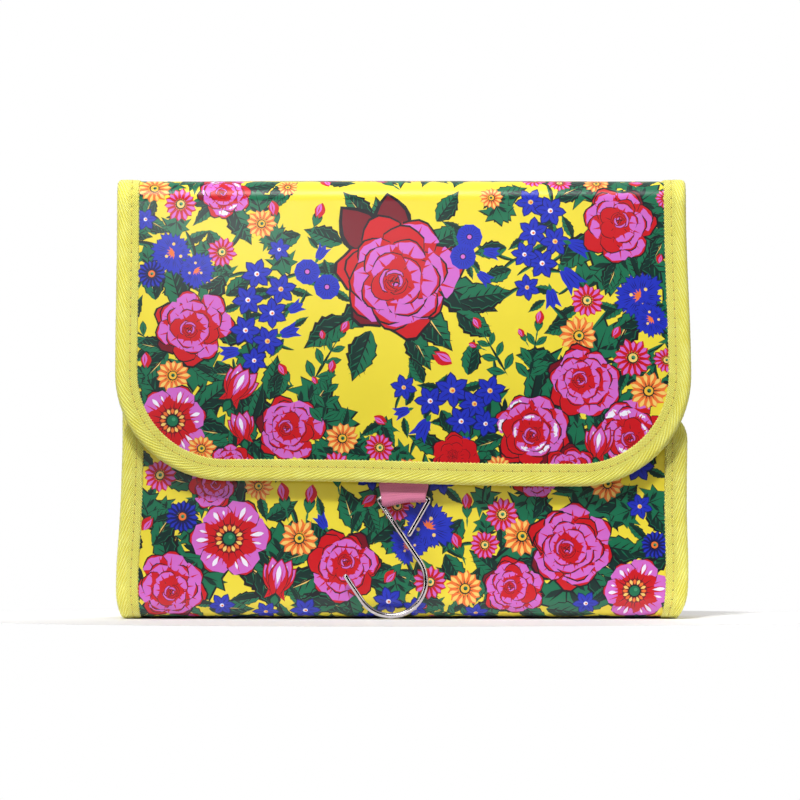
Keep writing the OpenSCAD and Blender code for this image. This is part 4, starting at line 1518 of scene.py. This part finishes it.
def net():
    """The flap pouch's net: a thin sheet with six-sided holes."""
    (x0, y0, z0), (x1, y1, z1) = box_of("flap_pouch_mesh")
    parts = [np.array([(x0, z0), (x1, z0), (x1, z1), (x0, z1)])]
    cell = disc(HOLE_PITCH * 0.46, 6) @ np.array([[0, 1], [-1, 0]])
    for j, z in enumerate(np.arange(z0 + 7, z1 - 2, HOLE_PITCH * 0.87)):
        for x in np.arange(x0 + 8 + (j % 2) * HOLE_PITCH / 2, x1 - 7.5, HOLE_PITCH):
            parts.append(cell + (x, z))
    flat, tris, top = triangulated(np.concatenate(parts), [], rings_of(parts))
    used, corners = np.unique(tris[top == 0], return_inverse=True)
    x, z = flat[used].T
    sag = 0.5 * np.sin(math.pi * (x - x0) / (x1 - x0)) * np.sin(math.pi * (z - z0) / (z1 - z0))
    points = np.stack([x, (y0 + y1) / 2 - 0.2 - sag, z], axis=1)
    o = piece("flap_pouch_net", points, corners.reshape(-1, 3), NET, False)
    thickened(o, 0.35)
    shown(o, "mesh", "flap_pouch_mesh", body="flap")


def lining_y(pouch, x, z):
    """Where the lining lies behind a point of a pouch, a little inside its face."""
    from_top, from_base = TOP_Z - FOLD_R - z, z - FOLD_R
    parts = {"flap": [("flap", from_top)], "front": [("front", from_base)],
             "back": [("back_top", from_top), ("back_low", from_base)]}[pouch]
    found = [RUNS[name].at(x, RUNS[name].fold_end + along, INSIDE - 0.8)[..., 1] for name, along in parts]
    return found[0] if len(found) == 1 else np.where(z > MID_BACK, *found)


def gusset(pouch, out):
    """The side walls of a pouch: one band of nylon with soft upright folds and round corners."""
    (x0, y0, z0), (x1, y1, z1) = box_of(f"{pouch}_pouch_gusset")
    r, t = 5.0, 0.9
    cx, cz, hx, hz = (x0 + x1) / 2, (z0 + z1) / 2, (x1 - x0) / 2 - t, (z1 - z0) / 2 - t
    ring = []
    for k, (sx, sz) in enumerate(((1, 1), (-1, 1), (-1, -1), (1, -1))):
        for turn in np.radians(np.linspace(0, 90, 9)) + k * math.pi / 2:
            ring.append((cx + sx * (hx - r) + r * math.cos(turn), cz + sz * (hz - r) + r * math.sin(turn)))
    ring = np.array(ring + ring[:1])
    far = distances(ring)
    d = np.linspace(0, far[-1], 260, endpoint=False)
    band = along_line(d, far, ring)
    way = unit(np.roll(band, -1, axis=0) - np.roll(band, 1, axis=0))
    outward = np.stack([way[:, 1], -way[:, 0]], axis=1)
    v = np.linspace(0, 1, 13)
    fold = 0.55 * np.sin(d * 2 * math.pi / 23 + 2 * np.sin(d / 37))[:, None] * np.sin(math.pi * v)
    xz = band[:, None] + outward[:, None] * (fold - 0.55)[..., None]
    root, rim = lining_y(pouch, band[:, 0], band[:, 1])[:, None], y1 if out > 0 else y0
    points = np.stack([xz[..., 0], root + (rim - root) * v, xz[..., 1]], axis=-1)
    faces = grid_faces(len(d), len(v), wrap_rows=True)
    o = piece(f"{pouch}_pouch_walls", points.reshape(-1, 3), faces, POUCH)
    thickened(o, 0.5)
    shown(o, "pouch_fabric", f"{pouch}_pouch_gusset", body=pouch)


def zip_teeth(pouch, out):
    """Two rows of interlocked coil teeth."""
    box = (x0, _, z0), (x1, _, z1) = box_of(f"{pouch}_zip_coil")
    x = np.arange(x0 + 0.6, x1 - 0.4, TOOTH_PITCH)
    side = np.where(np.arange(len(x)) % 2, 1.0, -1.0)
    y = np.full_like(x, front_of(*box, out) - out * 0.45)
    places = np.stack([x, y, (z0 + z1) / 2 + side * 0.55], axis=1)
    along = np.stack([0.12 * side, 0 * x, 1 + 0 * x], axis=1)
    up = np.tile((0.0, float(out), 0.0), (len(x), 1))
    shown(scatter(f"{pouch}_zip_teeth", capsule(1.7, 0.42), places, along, up, COIL),
          "zip_coil", f"{pouch}_zip_coil", body=pouch)


def pouch_seams(pouch, out):
    """Stitches round the trim of a pouch and along both of its zip tapes."""
    box = (x0, _, z0), (x1, _, z1) = box_of(f"{pouch}_pouch_trim")
    y = front_of(*box, out) + out * 0.02
    in_from_edge = 4.4
    ring = loop_round(x0 + in_from_edge, x1 - in_from_edge, z0 + in_from_edge, z1 - in_from_edge, y)
    trim = seam(f"{pouch}_pouch_stitches", ring, (0, out, 0), THREAD, POUCH_STITCH)
    shown(trim, "edge_binding", body=pouch)
    box = (x0, _, z0), (x1, _, z1) = box_of(f"{pouch}_zip_tapes")
    y = front_of(*box, out) + out * 0.02
    for label, z in (("lower", z0 + 1.2), ("upper", z1 - 1.2)):
        line = [(x0 + 8, y, z), (x1 - 8, y, z)]
        row = seam(f"{pouch}_zip_stitches_{label}", line, (0, out, 0), THREAD, POUCH_STITCH)
        shown(row, "zip_tape", body=pouch)


def cloth_node(name, material):
    """A CAD node that is cloth, dressed with its finish, welded and given a small bevel."""
    o = dress(name, material, 0.15)


for pouch, out in (("flap", 1), ("back", -1), ("front", 1)):
    gusset(pouch, out)
    cloth_node(f"{pouch}_pouch_header", POUCH)
    cloth_node(f"{pouch}_pouch_trim", POUCH_TAPE)
    cloth_node(f"{pouch}_zip_tapes", POUCH_TAPE)
    if pouch == "flap":
        net()
    else:
        clear = f"{pouch}_pouch_window"
        cloth_node(clear, VINYL)
    zip_teeth(pouch, out)
    pouch_seams(pouch, out)
    for part, bevel in (("stops", 0.2), ("slider", 0.25), ("pull", 0.2)):
        dress(f"{pouch}_zip_{part}", ZIP_METAL, bevel)

for strips, material in CLOSURE.items():
    cloth_node(strips, material)

# ---- Stage, light and camera ----

# The floor is a small oval, so that it hides little of the sections that hang below it when the bag is open.
FLOOR_SIDES = 96
FLOOR_HALF = (235.0, 120.0)
floor = piece("studio_floor", [(x, y, 0) for x, y in disc(1.0, FLOOR_SIDES) * FLOOR_HALF],
              [tuple(range(FLOOR_SIDES))], Finish("studio_floor", (250, 250, 250), 0.7).material, False)


def lamp(name, kind, at, towards, power):
    """A light, in metres and watts."""
    data = bpy.data.lights.new(name, kind)
    data.energy = power
    o = bpy.data.objects.new(name, data)
    bpy.context.scene.collection.objects.link(o)
    o.location = at
    o.rotation_euler = (Vector(towards) - Vector(at)).to_track_quat("-Z", "Y").to_euler()
    return o


def soft_light(name, at, towards, size, power):
    o = lamp(name, "AREA", at, towards, power)
    o.data.shape, o.data.size, o.data.size_y = "RECTANGLE", *size
    return o


soft_light("key_light", (-0.3, -0.9, 1.45), (0, 0, 0.1), (1.0, 0.45), 10.8)
soft_light("left_light", (-1.5, -0.9, 0.5), (0, 0, 0.1), (0.35, 1.1), 4)
soft_light("right_light", (1.5, -0.9, 0.45), (0, 0, 0.1), (0.35, 1.1), 4)
soft_light("left_glare", (-0.3, -2.4, 0.56), (-0.1, 0, 0.17), (0.34, 0.4), 4.4)
soft_light("under_light", (0, -0.5, -0.62), (0, 0.03, -0.08), (0.7, 0.3), 2.6)
soft_light("back_light", (0.3, 1.7, 1.1), (0, 0, 0.1), (1.6, 1.0), 18).visible_glossy = False

# An oval pool of light on the flap that fades all the way from its middle to its edge.
pool = lamp("flap_light", "SPOT", (-0.15, -0.9, 1.3), (0, -0.03, 0.15), 68)
pool.data.spot_size, pool.data.spot_blend, pool.data.shadow_soft_size = math.radians(12), 1.0, 0.1
pool.scale = (2.6, 1, 1)
pool.visible_glossy = False


def studio_world():
    """Pale all round, dimmer where the studio's dark end is, behind the photographer."""
    world = bpy.data.worlds.new("studio")
    bpy.context.scene.world = world
    w = Graph(world)
    background = w.nodes["Background"].inputs
    background["Color"].default_value = (1, 1, 1, 1)
    split = w.add("SeparateXYZ", Vector=w.add("TexCoord").outputs["Generated"]).outputs
    fade = w.ranged(split["Y"], 0.02, 0.55, -0.6, -0.42)
    under = w.ranged(split["Z"], 0.1, 1.0, -0.05, 0.4)
    seen = w.add("LightPath").outputs["Is Camera Ray"]
    mix = w.add("Mix", {"data_type": "FLOAT"}, Factor=seen, A=w.calc("MULTIPLY", fade, under), B=1.0)
    w.feed(background["Strength"], mix.outputs[0])


studio_world()

VIEW_WIDTH = 365.6
CAMERA_AT = (-0.7, -3000.0, 100.5)
SENSOR_WIDTH = 36
camera_data = bpy.data.cameras.new("camera")
camera = bpy.data.objects.new("camera", camera_data)
bpy.context.scene.collection.objects.link(camera)
camera.location = Vector(CAMERA_AT) * MM
camera.rotation_euler = (math.pi / 2, 0, 0)
camera_data.sensor_width = SENSOR_WIDTH
camera_data.lens = SENSOR_WIDTH * (-CAMERA_AT[1] + FRONT_Y) / VIEW_WIDTH
camera_data.clip_end = 50
bpy.context.scene.camera = camera
bpy.context.scene.view_settings.view_transform = "Standard"
